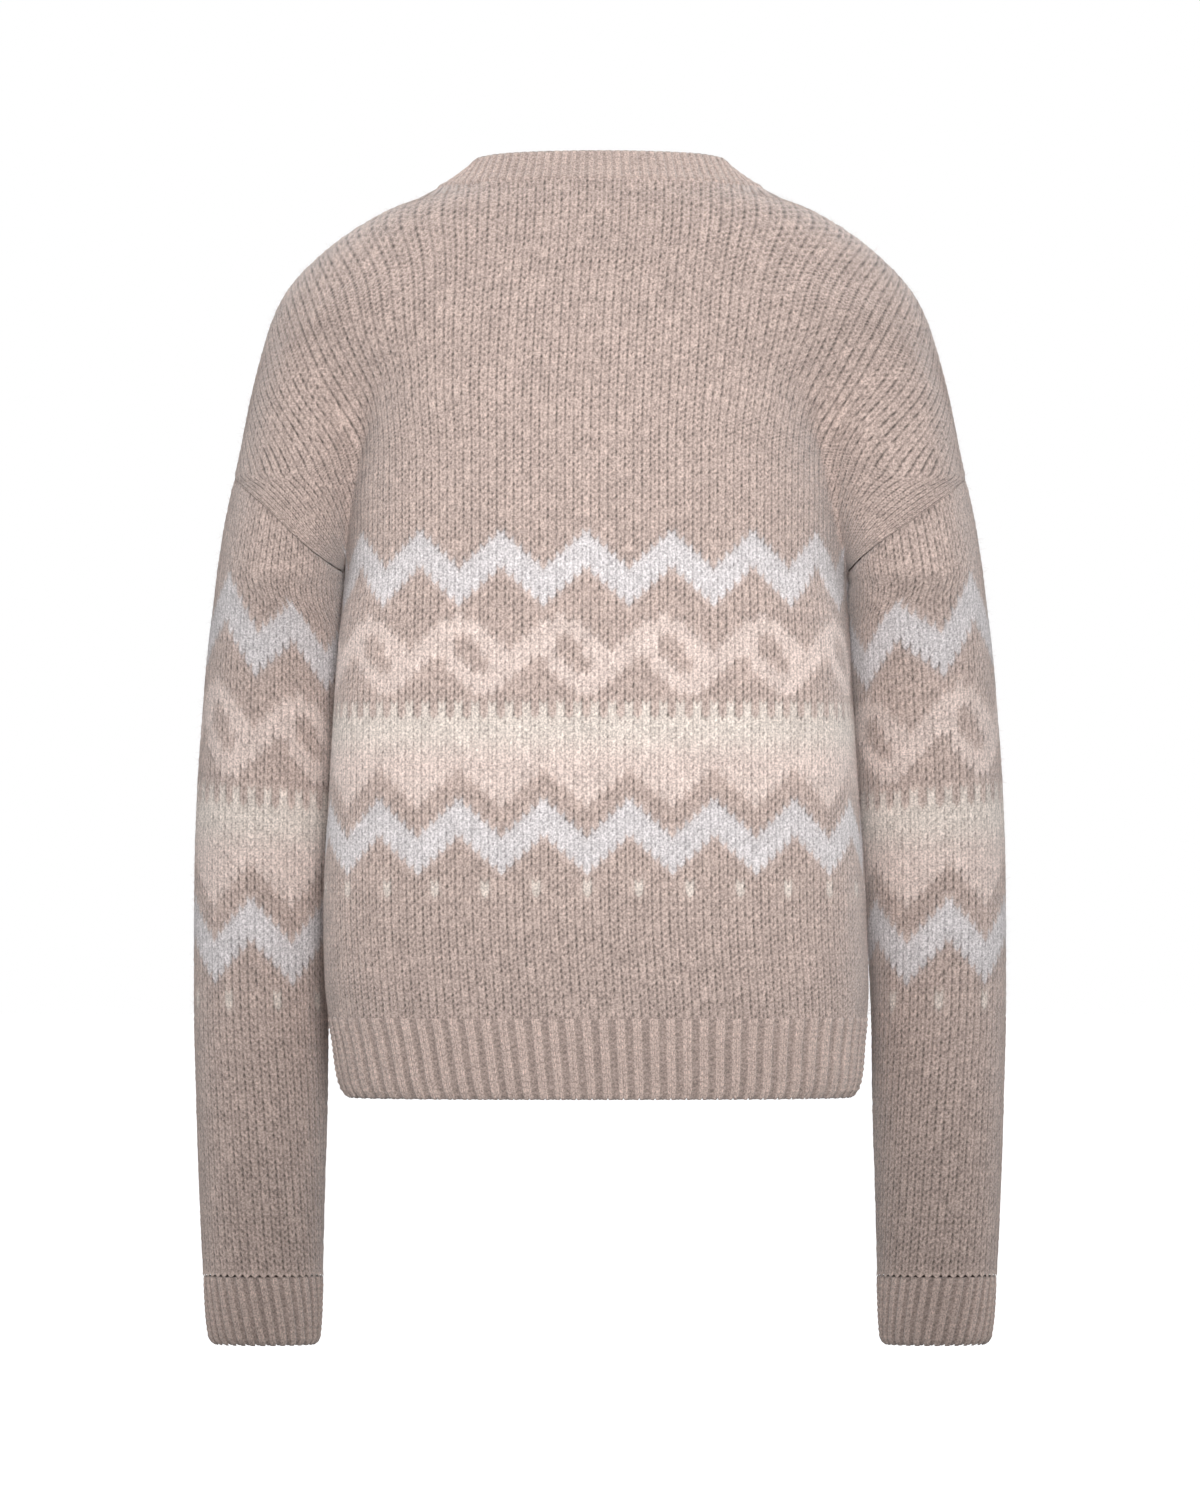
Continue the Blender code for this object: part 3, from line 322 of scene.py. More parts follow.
def stitch_plan(wale: np.ndarray, course: np.ndarray) -> np.ndarray:
    """The stitch coordinates of a grid, wales one way and courses the other."""
    return np.stack(np.broadcast_arrays(wale[:, None], course[None, :]), axis=-1)


@dataclass(frozen=True)
class WornForm:
    """The filled-out form of the garment: torso, arms and shoulders as sections by height."""

    hem_bottom: float = -0.5436
    hem_top: float = -0.4950
    cuff_bottom: float = -0.6948
    cuff_top: float = -0.6528
    underarm: float = -0.2300
    armhole_top: float = -0.1740
    back_neck_rise: float = 0.0040
    front_neck_drop: float = 0.0660
    neck_half_width: float = 0.0984
    shoulder_reach: float = 0.2193
    seam_y: float = -0.0050
    neckband_width: float = 0.0245
    band_width: float = 0.0306
    back_power: float = 2.5
    front_power: float = 2.3
    blend_low: float = -0.125
    blend_high: float = -0.065
    corner_share: float = 0.64
    neck_power: float = 2.2
    ring_points: int = 300
    torso_points: int = 121
    arm_points: int = 81
    seam_rounds: int = 60
    crease_step: float = 0.0008
    crease_reach: float = 3.0
    crease_fade: float = 2.2
    turned_y: tuple = (-0.100, 0.030)
    turned_x: tuple = (0.160, 0.212)
    seam_facing: tuple = (0.3, 0.7)
    facing_reach: tuple = (0.002, 0.020)

    @property
    def armhole_middle(self) -> float:
        """The height half way up the slanted armhole seam."""
        return 0.5 * (self.underarm + self.armhole_top)

    def torso_quarter(self, z: float, face: int, count: int) -> np.ndarray:
        """One quarter of the torso's ring, from the middle of a face to its side."""
        power = self.back_power if face < 0 else self.front_power
        side_y = float(TORSO.at("widest_y", z))
        depth = abs(float(TORSO.at("back" if face < 0 else "front", z)) - side_y)
        return oval_quarter(float(TORSO.at("half_width", z)), depth, power, side_y, face, count)

    def torso_half(self, z: float, face: int, count: int) -> np.ndarray:
        """The torso's half ring, from the middle of one face round to the middle of the other."""
        near = self.torso_quarter(z, face, count)
        far = self.torso_quarter(z, -face, count)[::-1]
        return np.concatenate([near, far[1:]])

    def inside_torso(self, points: np.ndarray, z: float) -> np.ndarray:
        """Whether each point lies within the torso's ring."""
        side_y = float(TORSO.at("widest_y", z))
        across = np.abs(points[:, 0]) / float(TORSO.at("half_width", z))
        along = points[:, 1] - side_y
        back = abs(float(TORSO.at("back", z)) - side_y)
        front = abs(float(TORSO.at("front", z)) - side_y)
        rear = across**self.back_power + (np.abs(along) / back) ** self.back_power
        fore = across**self.front_power + (np.abs(along) / front) ** self.front_power
        return np.where(along < 0, rear, fore) < 1.0

    def arm_ring(self, z: ArrayLike) -> tuple:
        """The arm's ellipse: middle x, middle y, half width and half depth."""
        outer = ARM.at("outer_x", z)
        inner = ARM.at("inner_x", z)
        return (outer + inner) / 2, ARM.at("mid_y", z), (outer - inner) / 2, ARM.at("half_depth", z)

    def arm_point(self, z: ArrayLike, angle: ArrayLike) -> np.ndarray:
        """A point of the arm's ellipse, 0 at its outer side and a quarter turn at its back."""
        middle_x, middle_y, wide, deep = self.arm_ring(z)
        return np.stack([middle_x + wide * np.cos(angle), middle_y - deep * np.sin(angle)], axis=-1)

    def _armhole_ends(self) -> tuple:
        """The armhole seam's x at the underarm and at its top."""
        return float(ARM.at("inner_x", self.underarm)), float(ARM.at("outer_x", self.armhole_top))

    def armhole_height(self, x: ArrayLike) -> np.ndarray:
        """The armhole seam's height at x."""
        inner, outer = self._armhole_ends()
        t = (np.asarray(x) - inner) / (outer - inner)
        return self.underarm + (self.armhole_top - self.underarm) * t

    def armhole_x(self, z: float) -> float:
        """The armhole seam's x at a height."""
        inner, outer = self._armhole_ends()
        return inner + (outer - inner) * (z - self.underarm) / (self.armhole_top - self.underarm)

    def seam_level(self, angle: np.ndarray) -> np.ndarray:
        """The height at which the armhole seam meets the arm at each angle round it."""
        z = np.full(np.shape(angle), self.armhole_middle)
        for _ in range(self.seam_rounds):
            z = 0.5 * z + 0.5 * self.armhole_height(self.arm_point(z, angle)[..., 0])
        return z

    def _soften(self, points: np.ndarray, corner: float, size: float, tip: np.ndarray) -> tuple:
        """Rounds the corner where torso and arm meet, and keeps the line's end at the tip."""
        run = running_length(points)
        count = max(int(run[-1] / self.crease_step), 40)
        line = even_points(points, count)
        step = run[-1] / count
        reach = int(self.crease_reach * size / step) + 1
        weights = bell(np.arange(-reach, reach + 1) * step, size)
        start = 2 * line[0] - line[reach:0:-1]
        start[:, 1] = line[reach:0:-1, 1]
        end = line[-2 : -reach - 2 : -1].copy()
        end[:, 1] = 2 * line[-1, 1] - end[:, 1]
        smooth = smoothed(np.concatenate([start, line, end]), weights)
        along = np.linspace(0.0, run[-1], count + 1)
        near = np.exp(-0.5 * ((along - corner) / (self.crease_fade * size)) ** 2)[:, None]
        line = line * (1 - near) + smooth * near
        pull = np.clip((along - corner) / (run[-1] - corner), 0.0, 1.0)[:, None]
        return line + (tip - line[-1]) * pull, along

    def _joined_section(self, z: float, face: int) -> tuple:
        """Torso and arm in one line to the arm's outer tip, and the place of its corner."""
        torso = self.torso_half(z, face, self.ring_points)
        middle_x, middle_y, wide, deep = (float(value) for value in self.arm_ring(z))
        test = ((torso[:, 0] - middle_x) / wide) ** 2 + ((torso[:, 1] - middle_y) / deep) ** 2
        inside = np.nonzero(test < 1.0)[0]
        stop = int(inside[0]) if len(inside) else int(np.argmin(test))
        angle = np.linspace(math.pi, 0.0, self.ring_points)
        arm_x = middle_x + wide * np.cos(angle)
        arm = np.stack([arm_x, middle_y + face * deep * np.sin(angle)], axis=1)
        hidden = np.nonzero(self.inside_torso(arm, z))[0]
        go = int(hidden[-1]) + 1 if len(hidden) else 1
        first = torso[: max(stop, 2)]
        corner = running_length(first)[-1]
        softness = float(CREASE.at("softness", z))
        line, along = self._soften(np.concatenate([first, arm[go:]]), corner, softness, arm[-1])
        return line, along, corner

    def _shoulder_section(self, z: float, face: int) -> np.ndarray:
        """A plain quarter section under the shoulder ridge."""
        power = float(SHOULDER.at("power", z))
        tip_y = float(SHOULDER.at("tip_y", z))
        depth = abs(float(SHOULDER.at("back" if face < 0 else "front", z)) - tip_y)
        tip_x = float(SHOULDER.at("tip_x", z))
        return oval_quarter(tip_x, depth, power, tip_y, face, self.ring_points)

    def _split(self, line: np.ndarray, along: np.ndarray, corner: float, stop: float) -> np.ndarray:
        """The line cut at its corner and at its end, as an even run of points in each part."""
        first = np.linspace(0.0, corner, self.torso_points)
        second = np.linspace(corner, along[-1], self.arm_points)[1:]
        where = np.concatenate([first, np.minimum(second, max(stop, corner))])
        return points_at(line, along, where)

    def section(self, z: float, face: int) -> np.ndarray:
        """The half section of one face at a height, from its middle to the panel's outer edge."""
        if z <= self.underarm + 1e-9:
            half = self.torso_half(z, face, self.ring_points)
            past = half[:, 1] > self.seam_y if face < 0 else half[:, 1] < self.seam_y
            i = int(np.argmax(past))
            t = (self.seam_y - half[i - 1, 1]) / (half[i, 1] - half[i - 1, 1])
            seam = half[i - 1] + (half[i] - half[i - 1]) * t
            return np.concatenate([half[:i], [seam]])
        share = float(ramp(z, self.blend_low, self.blend_high))
        low = None
        if share < 1.0:
            line, along, corner = self._joined_section(z, face)
            stop = along[-1]
            end = line[-1]
            if z < self.armhole_top - 1e-9:
                past = (line[:, 0] >= self.armhole_x(z)) & (along > corner)
                i = int(np.argmax(past))
                t = (self.armhole_x(z) - line[i - 1, 0]) / (line[i, 0] - line[i - 1, 0])
                stop = along[i - 1] + (along[i] - along[i - 1]) * min(max(t, 0.0), 1.0)
                middle_x, middle_y, wide, deep = (float(value) for value in self.arm_ring(z))
                across = (self.armhole_x(z) - middle_x) / wide
                end_y = middle_y + face * deep * math.sqrt(max(1 - across**2, 0.0))
                end = (self.armhole_x(z), end_y)
            low = self._split(line, along, corner, stop)
            low[np.linalg.norm(low - low[-1], axis=1) < 1e-9] = end
        if share > 0.0:
            line = self._shoulder_section(z, face)
            along = running_length(line)
            high = self._split(line, along, self.corner_share * along[-1], along[-1])
            low = high if low is None else low * (1 - share) + high * share
        return low

    def turned(self, points: np.ndarray) -> np.ndarray:
        """The body's back as it is turned a little under the neck, while sleeves and front stay."""
        p = np.array(points, float)
        back = 1.0 - ramp(p[..., 1], *self.turned_y)
        inner = 1.0 - ramp(np.abs(p[..., 0]), *self.turned_x)
        p[..., 0] += TURN.at("shift", p[..., 2]) * back * inner
        return p

    def back_neck(self, share: np.ndarray) -> np.ndarray:
        """The back neckline's height at a share of the way from the middle to the shoulder."""
        return self.back_neck_rise * (1.0 - share**2)

    def front_neck(self, z: np.ndarray) -> np.ndarray:
        """The front neckline's x at a height."""
        down = (-z / self.front_neck_drop) ** self.neck_power
        return self.neck_half_width * (1.0 - down) ** (1 / self.neck_power)

    def facing(self, x: np.ndarray) -> np.ndarray:
        """How far the armhole seam's relief stands, least where the seam meets the outline."""
        least, more = self.seam_facing
        return least + more * ramp(self.shoulder_reach - x, *self.facing_reach)


class Yarn(Enum):
    """The yarns of the garment, as linear colours."""

    TAUPE = (0.560, 0.440, 0.392)
    FROST = (0.654, 0.615, 0.622)
    BLUSH = (0.698, 0.572, 0.522)
    CREAM = (0.690, 0.607, 0.550)


@dataclass(frozen=True)
class Gauge:
    """The size of a stitch and how far its legs stand up."""

    wale: float = 0.00508
    course: float = 0.0038
    rise: float = 0.0011
    slant: float = 0.62
    quarters: int = 4
    halves: int = 2
    # The levels, from 0 in a hollow to 1 on a leg, set both the relief and the painted hollow shade.
    levels: tuple = ((0.00, 0.62), (0.86, 1.0), (0.20, 0.90), (0.86, 1.0))
    pulled_levels: tuple = ((0.00, 0.20), (0.86, 1.0), (0.55, 0.90), (0.86, 1.0))
    filled: float = 0.62
    worn: float = 0.22
    rough: float = 0.00026
    hollow_below: float = 0.4
    mean_level: float = 0.6
    slants: tuple = (1.0, 0.5, 0.0, 0.5)

    def part(self, quarter: np.ndarray) -> np.ndarray:
        """Which of a stitch's columns each quarter wale is."""
        return np.mod(quarter + self.quarters // 2, self.quarters)

    def slant_of(self, quarter: np.ndarray) -> np.ndarray:
        """How far each column of a V stands above the V's point, in courses."""
        return self.slant * np.array(self.slants)[self.part(quarter)]

    def stitch_of(self, quarter: np.ndarray) -> np.ndarray:
        """The whole stitch that each quarter wale belongs to."""
        return np.floor((quarter + 2) / self.quarters).astype(int)


DIAMOND_CHAIN = (
    "......#.....",
    "....#####...",
    "...#######..",
    "..####..###.",
    ".#####...###",
    "######...###",
    "###..##...##",
    "##...###..##",
    "#.....######",
    ".......#####",
    "........###.",
)


@dataclass(frozen=True)
class YokeChart:
    """The traditional yoke: zigzags, a chain of slanted diamonds, a toothed band and dots.

    Rows are counted down from the chart's top, stitches sideways from the panel's middle.
    """

    rows: int = 50
    zigzag: int = 10
    diamond: int = 12
    dot: int = 6
    upper_thick: int = 5
    diamond_top: int = 11
    diamond_phase: int = 9
    teeth_top: int = 23
    band_top: int = 25
    band_point: int = 36
    lower_top: int = 36
    lower_thick: int = 5
    dot_rows: tuple = (47, 48)

    def colours(self, stitch: np.ndarray, row: np.ndarray) -> np.ndarray:
        """The yarn of each stitch, as linear colours.

        Args:
            stitch: Whole numbers of stitches from the middle.
            row: Whole numbers of rows below the chart's top, outside 0 to rows for plain knitting.

        Returns:
            An array of the stitches' shape with three colour values for each.
        """
        colour = np.empty(np.broadcast(stitch, row).shape + (3,))
        colour[:] = Yarn.TAUPE.value
        near = np.mod(stitch, self.zigzag)
        near = np.minimum(near, self.zigzag - near)
        far = self.zigzag // 2 - near
        colour[(row >= near) & (row < near + self.upper_thick)] = Yarn.FROST.value
        colour[self._diamonds(stitch, row)] = Yarn.BLUSH.value
        teeth = (row >= self.teeth_top) & (row < self.band_top) & (np.mod(stitch, 2) == 1)
        band = (row >= self.band_top) & (row <= self.band_point - near)
        fade = ramp(row, self.band_top + 1, self.band_top + 6)[..., None]
        mixed = np.array(Yarn.CREAM.value) * (1 - fade) + np.array(Yarn.BLUSH.value) * fade
        mixed = np.broadcast_to(mixed, colour.shape)
        colour[teeth | band] = mixed[teeth | band]
        lower = (row >= self.lower_top + far) & (row < self.lower_top + far + self.lower_thick)
        colour[lower] = Yarn.FROST.value
        dots = (np.mod(stitch, self.dot) == 0) & np.isin(row, self.dot_rows)
        colour[dots] = Yarn.CREAM.value
        return colour

    def _diamonds(self, stitch: np.ndarray, row: np.ndarray) -> np.ndarray:
        """Where the chain of slanted, hollow diamonds lies."""
        motif = np.array([[mark == "#" for mark in line] for line in DIAMOND_CHAIN])
        down = np.clip(row - self.diamond_top, 0, len(motif) - 1)
        inside = (row >= self.diamond_top) & (row < self.diamond_top + len(motif))
        return motif[down, np.mod(stitch + self.diamond_phase, self.diamond)] & inside


@dataclass
class Faces:
    """The faces of a mesh, corner by corner."""

    loops: np.ndarray
    totals: np.ndarray
    tints: np.ndarray
    plans: np.ndarray


def new_mesh(name: str, points: np.ndarray, loops: np.ndarray, totals: np.ndarray) -> bpy.types.Mesh:
    """A mesh from its points, its faces' corners and the number of corners of each face."""
    starts = np.concatenate([[0], np.cumsum(totals)[:-1]])
    mesh = bpy.data.meshes.new(name)
    mesh.vertices.add(len(points))
    mesh.vertices.foreach_set("co", points.astype(np.float32).ravel())
    mesh.loops.add(len(loops))
    mesh.loops.foreach_set("vertex_index", loops.astype(np.int32))
    mesh.polygons.add(len(totals))
    mesh.polygons.foreach_set("loop_start", starts.astype(np.int32))
    mesh.polygons.foreach_set("loop_total", totals.astype(np.int32))
    return mesh


def linked(name: str, mesh: bpy.types.Mesh) -> bpy.types.Object:
    """A new object in the scene for a mesh."""
    thing = bpy.data.objects.new(name, mesh)
    bpy.context.scene.collection.objects.link(thing)
    return thing


@dataclass
class KnitCloth:
    """Knitting as a mesh: a grid of quarter wales by half courses, raised leg by leg."""

    name: str
    base: np.ndarray
    normal: np.ndarray
    lift: np.ndarray
    level: np.ndarray
    colour: np.ndarray
    plan: np.ndarray
    warp: Callable[[np.ndarray], np.ndarray] | None = None
    inner: np.ndarray | None = None
    inner_step: int = 1
    closed: bool = False
    flip: bool = False
    placed: np.ndarray | None = None
    inner_level: float = 0.4
    weld: float = 2e-6
    least_area: float = 2e-9

    def build(self, material: bpy.types.Material) -> bpy.types.Object:
        """Makes the object with its colours, the levels of its painted hollow shade and its stitch
        coordinates.

        Args:
            material: The yarn finish.

        Returns:
            The new object, its place in its mesh.
        """
        points = self.base + self.normal * self.lift[..., None]
        if self.inner is None:
            self._settle(points)
        if self.warp is not None:
            points = self.warp(points)
        self.placed = points
        columns, rows = points.shape[:2]
        flat = points.reshape(-1, 3)
        keys = np.round(flat / self.weld).astype(np.int64)
        _, first, place = np.unique(keys, axis=0, return_index=True, return_inverse=True)
        place = place.reshape(columns, rows)
        spans = columns if self.closed else columns - 1
        c = np.arange(spans)
        d = (c + 1) % columns
        low, high = place[:, :-1], place[:, 1:]
        quads = np.stack([low[c], low[d], high[d], high[c]], axis=-1).reshape(-1, 4)
        tint = np.concatenate([self.colour, self._blurred()], axis=-1)[c].reshape(-1, 6)
        e = c + 1 if self.closed else d
        corners = [self.plan[c, :-1], self.plan[e, :-1], self.plan[e, 1:], self.plan[c, 1:]]
        plan = np.stack(corners, axis=-2).reshape(-1, 4, 2)
        keep = self._area_ok(flat[first], quads)
        faces = self._faces(quads[keep], tint[keep], plan[keep])
        points = flat[first]
        level = self.level.reshape(-1)[first]
        if self.inner is not None:
            points, level, faces = self._close(points, level, place, faces)
        mesh = new_mesh(self.name, points, faces.loops, faces.totals)
        mesh.polygons.foreach_set("use_smooth", np.ones(len(faces.totals), bool))
        mesh.update(calc_edges=True)
        self._attributes(mesh, level, faces)
        if self.flip:
            mesh.flip_normals()
        mesh.materials.append(material)
        return linked(self.name, mesh)

    def _settle(self, points: np.ndarray) -> None:
        """Brings together the points of stitches that end at an edge, so that they leave no slivers."""
        for axis in (1, 0):
            base = np.moveaxis(self.base, axis, 0)
            line = np.moveaxis(points, axis, 0)
            for k in range(1, len(base)):
                same = np.abs(base[k] - base[k - 1]).max(axis=-1) < 1e-7
                line[k][same] = line[k - 1][same]

    def _blurred(self) -> np.ndarray:
        """The colours as loose fibres mix them, spread over the neighbouring stitches."""
        across = np.array([1.0, 2.0, 3.0, 2.0, 1.0]) / 9.0
        along = np.array([1.0, 2.0, 1.0]) / 4.0
        wide = np.pad(self.colour, ((2, 2), (1, 1), (0, 0)), mode="edge")
        columns, rows = self.colour.shape[:2]
        wide = sum(weight * wide[k : k + columns] for k, weight in enumerate(across))
        return sum(weight * wide[:, k : k + rows] for k, weight in enumerate(along))

    def _area_ok(self, points: np.ndarray, quads: np.ndarray) -> np.ndarray:
        """Whether each four-sided face has any area."""
        across = points[quads[:, 2]] - points[quads[:, 0]]
        along = points[quads[:, 3]] - points[quads[:, 1]]
        return np.linalg.norm(np.cross(across, along), axis=1) > self.least_area

    @staticmethod
    def _faces(quads: np.ndarray, tint: np.ndarray, plan: np.ndarray) -> Faces:
        """Face corners without repeats, so that a squeezed face becomes a triangle."""
        fresh = quads != np.roll(quads, 1, axis=1)
        totals = fresh.sum(axis=1)
        good = totals >= 3
        fresh, totals = fresh[good], totals[good]
        tints = np.repeat(tint[good], totals, axis=0)
        return Faces(quads[good][fresh], totals, tints, plan[good][fresh])

    def _close(self, points: np.ndarray, level: np.ndarray, place: np.ndarray, outer: Faces) -> tuple:
        """Adds the plain inner side and the rims, one inner column for each rib."""
        inner = self.inner if self.warp is None else self.warp(self.inner)
        in_columns, in_rows = inner.shape[:2]
        base = len(points)
        step = self.inner_step
        columns = place.shape[0]

        def into(column: int, row: int) -> int:
            """The number of an inner point."""
            return base + (column % in_columns) * in_rows + row

        faces: list[list[int]] = []
        spans = in_columns if self.closed else in_columns - 1
        for c in range(spans):
            for r in range(in_rows - 1):
                faces.append([into(c + 1, r), into(c, r), into(c, r + 1), into(c + 1, r + 1)])
            for end in (0, 1):
                r = -end
                s = (in_rows - 1) * end
                line = [int(place[(c * step + k) % columns, r]) for k in range(step + 1)]
                loop = line + [into(c + 1, s), into(c, s)]
                faces.append(loop if end else loop[::-1])
        if not self.closed:
            for side in (0, 1):
                c = (columns - 1) * side
                d = (in_columns - 1) * side
                line = [int(v) for v in place[c]]
                loop = line + [into(d, r) for r in reversed(range(in_rows))]
                faces.append(loop[::-1] if side else loop)
        tint = np.tile(self.colour.reshape(-1, 3).mean(axis=0), 2)
        more = np.concatenate([np.array(face) for face in faces])
        counts = np.array([len(face) for face in faces])
        points = np.concatenate([points, inner.reshape(-1, 3)])
        # The plain inner side takes one middling level of painted hollow shade.
        level = np.concatenate([level, np.full(in_columns * in_rows, self.inner_level)])
        closed = Faces(
            np.concatenate([outer.loops, more]),
            np.concatenate([outer.totals, counts]),
            np.concatenate([outer.tints, np.repeat(tint[None], len(more), axis=0)]),
            np.concatenate([outer.plans, np.zeros((len(more), 2))]),
        )
        return points, level, closed

    @staticmethod
    def _attributes(mesh: bpy.types.Mesh, level: np.ndarray, faces: Faces) -> None:
        """Stores the yarn colour by face corner, its softened copy, the level that sets the painted hollow
        shade, and the plan.
        """
        total = np.zeros((len(mesh.vertices), 3))
        count = np.zeros(len(mesh.vertices))
        np.add.at(total, faces.loops, faces.tints[:, 3:])
        np.add.at(count, faces.loops, 1.0)
        soft = total / np.maximum(count, 1.0)[:, None]
        layers = (("yarn", "CORNER", faces.tints[:, :3]), ("soft_yarn", "POINT", soft))
        for name, domain, colours in layers:
            layer = mesh.color_attributes.new(name, "FLOAT_COLOR", domain)
            opaque = np.hstack([colours, np.ones((len(colours), 1))])
            layer.data.foreach_set("color", opaque.astype(np.float32).ravel())
        # The level that sets the painted hollow shade.
        hollow = mesh.attributes.new("level", "FLOAT", "POINT")
        hollow.data.foreach_set("value", level.astype(np.float32))
        uv = mesh.uv_layers.new(name="stitches")
        uv.data.foreach_set("uv", faces.plans.astype(np.float32).ravel())


@dataclass
class LooseFibres:
    """Hairs that the brushing has raised from a cloth, each a slender closed needle."""

    name: str
    cloth: KnitCloth
    count: int
    seed: int
    thickness: float = 0.000062
    shortest: float = 0.0020
    longest: float = 0.0070
    bury: float = 0.0004
    raised: tuple = (8.0, 62.0)

    def build(self, finishes: list[bpy.types.Material]) -> bpy.types.Object:
        """Makes the fibres as one object.

        Args:
            finishes: The fibres' finishes, in the order of the yarns they are matched with.

        Returns:
            The new object.
        """
        rng = np.random.default_rng(self.seed)
        grid = self.cloth.placed
        across = grid[1:, :-1] - grid[:-1, :-1]
        along = grid[:-1, 1:] - grid[:-1, :-1]
        area = np.linalg.norm(np.cross(across, along), axis=-1)
        chosen = rng.choice(area.size, self.count, p=(area / area.sum()).ravel())
        c, r = np.unravel_index(chosen, area.shape)
        share = rng.random((2, self.count, 1))
        root = grid[c, r] + across[c, r] * share[0] + along[c, r] * share[1]
        normal = self.cloth.normal[c, r]
        turn = rng.uniform(0.0, 2 * math.pi, (self.count, 1))
        side = unit(np.cross(normal, along[c, r]))
        up = np.cross(side, normal)
        raised = np.radians(rng.uniform(*self.raised, (self.count, 1)))
        way = (np.cos(turn) * side + np.sin(turn) * up) * np.cos(raised) + normal * np.sin(raised)
        length = self.shortest + (self.longest - self.shortest) * rng.random((self.count, 1)) ** 2
        first = unit(np.cross(way, normal + 0.01 * side))
        second = np.cross(way, first)
        root = root - normal * self.bury
        corners = [root + way * length]
        for k in range(3):
            angle = 2 * math.pi * k / 3
            spoke = first * math.cos(angle) + second * math.sin(angle)
            corners.append(root + spoke * self.thickness)
        points = np.stack(corners, axis=1).reshape(-1, 3)
        faces = np.array([[0, 1, 2], [0, 2, 3], [0, 3, 1], [1, 3, 2]])
        if np.dot(np.cross(first[0], second[0]), way[0]) < 0:
            faces = faces[:, ::-1]
        loops = (faces[None] + 4 * np.arange(self.count)[:, None, None]).reshape(-1)
        mesh = new_mesh(self.name, points, loops, np.full(len(loops) // 3, 3))
        tint = self.cloth.colour[c, np.minimum(r, self.cloth.colour.shape[1] - 1)]
        yarns = np.array([yarn.value for yarn in Yarn])
        nearest = np.argmin(((tint[:, None, :] - yarns[None]) ** 2).sum(axis=-1), axis=1)
        mesh.polygons.foreach_set("material_index", np.repeat(nearest, 4).astype(np.int32))
        mesh.update(calc_edges=True)
        for finish in finishes:
            mesh.materials.append(finish)
        return linked(self.name, mesh)


def stitch_relief(
    gauge: Gauge, quarter: np.ndarray, half: np.ndarray, seed: int, pulled: ArrayLike = 0.0
) -> tuple:
    """The relief of plain knitting on a grid of quarter wales by half courses.

    Args:
        gauge: The stitch.
        quarter: The column numbers, in quarter wales.
        half: The row numbers, in half courses.
        seed: Sets the unevenness of the brushed stitches.
        pulled: From 0 to 1, how far the wales stand apart as cords.

    Returns:
        The lift of each grid point, and its level from 0 in a hollow to 1 on a leg, which also sets the
        painted hollow shade.
    """
    part = gauge.part(quarter)
    level = np.array(gauge.levels)[part][:, np.mod(half, gauge.halves)]
    corded = np.array(gauge.pulled_levels)[part][:, np.mod(half, gauge.halves)]
    level = level + (corded - level) * pulled
    uneven = np.random.default_rng(seed).random((2,) + level.shape)
    filled = gauge.filled * uneven[0] ** 2
    worn = level * (1.0 - gauge.worn * uneven[0])
    level = np.where(level < gauge.hollow_below, level + filled, worn)
    lift = gauge.rise * (level - gauge.mean_level) + gauge.rough * (uneven[1] - 0.5)
    return lift, level


@dataclass
class PanelSurface:
    """One face of the body as a surface read by share across and height."""

    form: WornForm
    face: int
    top: float = 0.050
    levels: int = 200
    easing: float = 0.0100
    samples: int = 420
    easing_steps: int = 12
    share_step: float = 0.004
    height_step: float = 0.0015
    heights: np.ndarray = field(init=False)
    grid: np.ndarray = field(init=False)
    reach: np.ndarray = field(init=False)
    eased: np.ndarray = field(init=False)

    def __post_init__(self) -> None:
        """Works out every section once."""
        self.heights = np.linspace(self.form.hem_top, self.top, self.levels)
        lines = [self.form.section(float(z), self.face) for z in self.heights]
        self.reach = np.array([running_length(line)[-1] for line in lines])
        self.grid = np.array([even_points(line, self.samples - 1) for line in lines])
        steps = np.arange(-self.easing_steps, self.easing_steps + 1)
        weights = bell(steps * (self.heights[1] - self.heights[0]), self.easing)
        padded = np.pad(self.reach, self.easing_steps, mode="edge")
        self.eased = np.convolve(padded, weights, mode="valid")

    def eased_length(self, z: ArrayLike) -> np.ndarray:
        """The length across the half panel, smoothed over the armhole's ends."""
        return np.interp(z, self.heights, self.eased)

    def length(self, z: ArrayLike) -> np.ndarray:
        """The length across the half panel at a height."""
        return np.interp(z, self.heights, self.reach)

    def point(self, share: np.ndarray, z: np.ndarray) -> np.ndarray:
        """The place at a share of the way across and a height."""
        across = np.clip(share, 0.0, 1.0) * (self.samples - 1)
        step = self.heights[1] - self.heights[0]
        up = np.clip((z - self.heights[0]) / step, 0.0, self.levels - 1.0)
        flat = between(self.grid, up, across)
        return np.concatenate([flat, np.asarray(z)[..., None]], axis=-1)

    def slopes(self, share: np.ndarray, z: np.ndarray) -> tuple:
        """The surface's directions across and up, at a share and a height."""
        d = self.share_step
        h = self.height_step
        low, high = np.clip(share - d, 0.0, 1.0), np.clip(share + d, 0.0, 1.0)
        across = (self.point(high, z) - self.point(low, z)) / (high - low)[..., None]
        up = (self.point(share, z + h) - self.point(share, z - h)) / (2 * h)
        return across, up

    def normal(self, share: np.ndarray, z: np.ndarray) -> np.ndarray:
        """The outward normal at a share and a height."""
        across, up = self.slopes(share, z)
        return unit(np.cross(across, up) * -self.face)


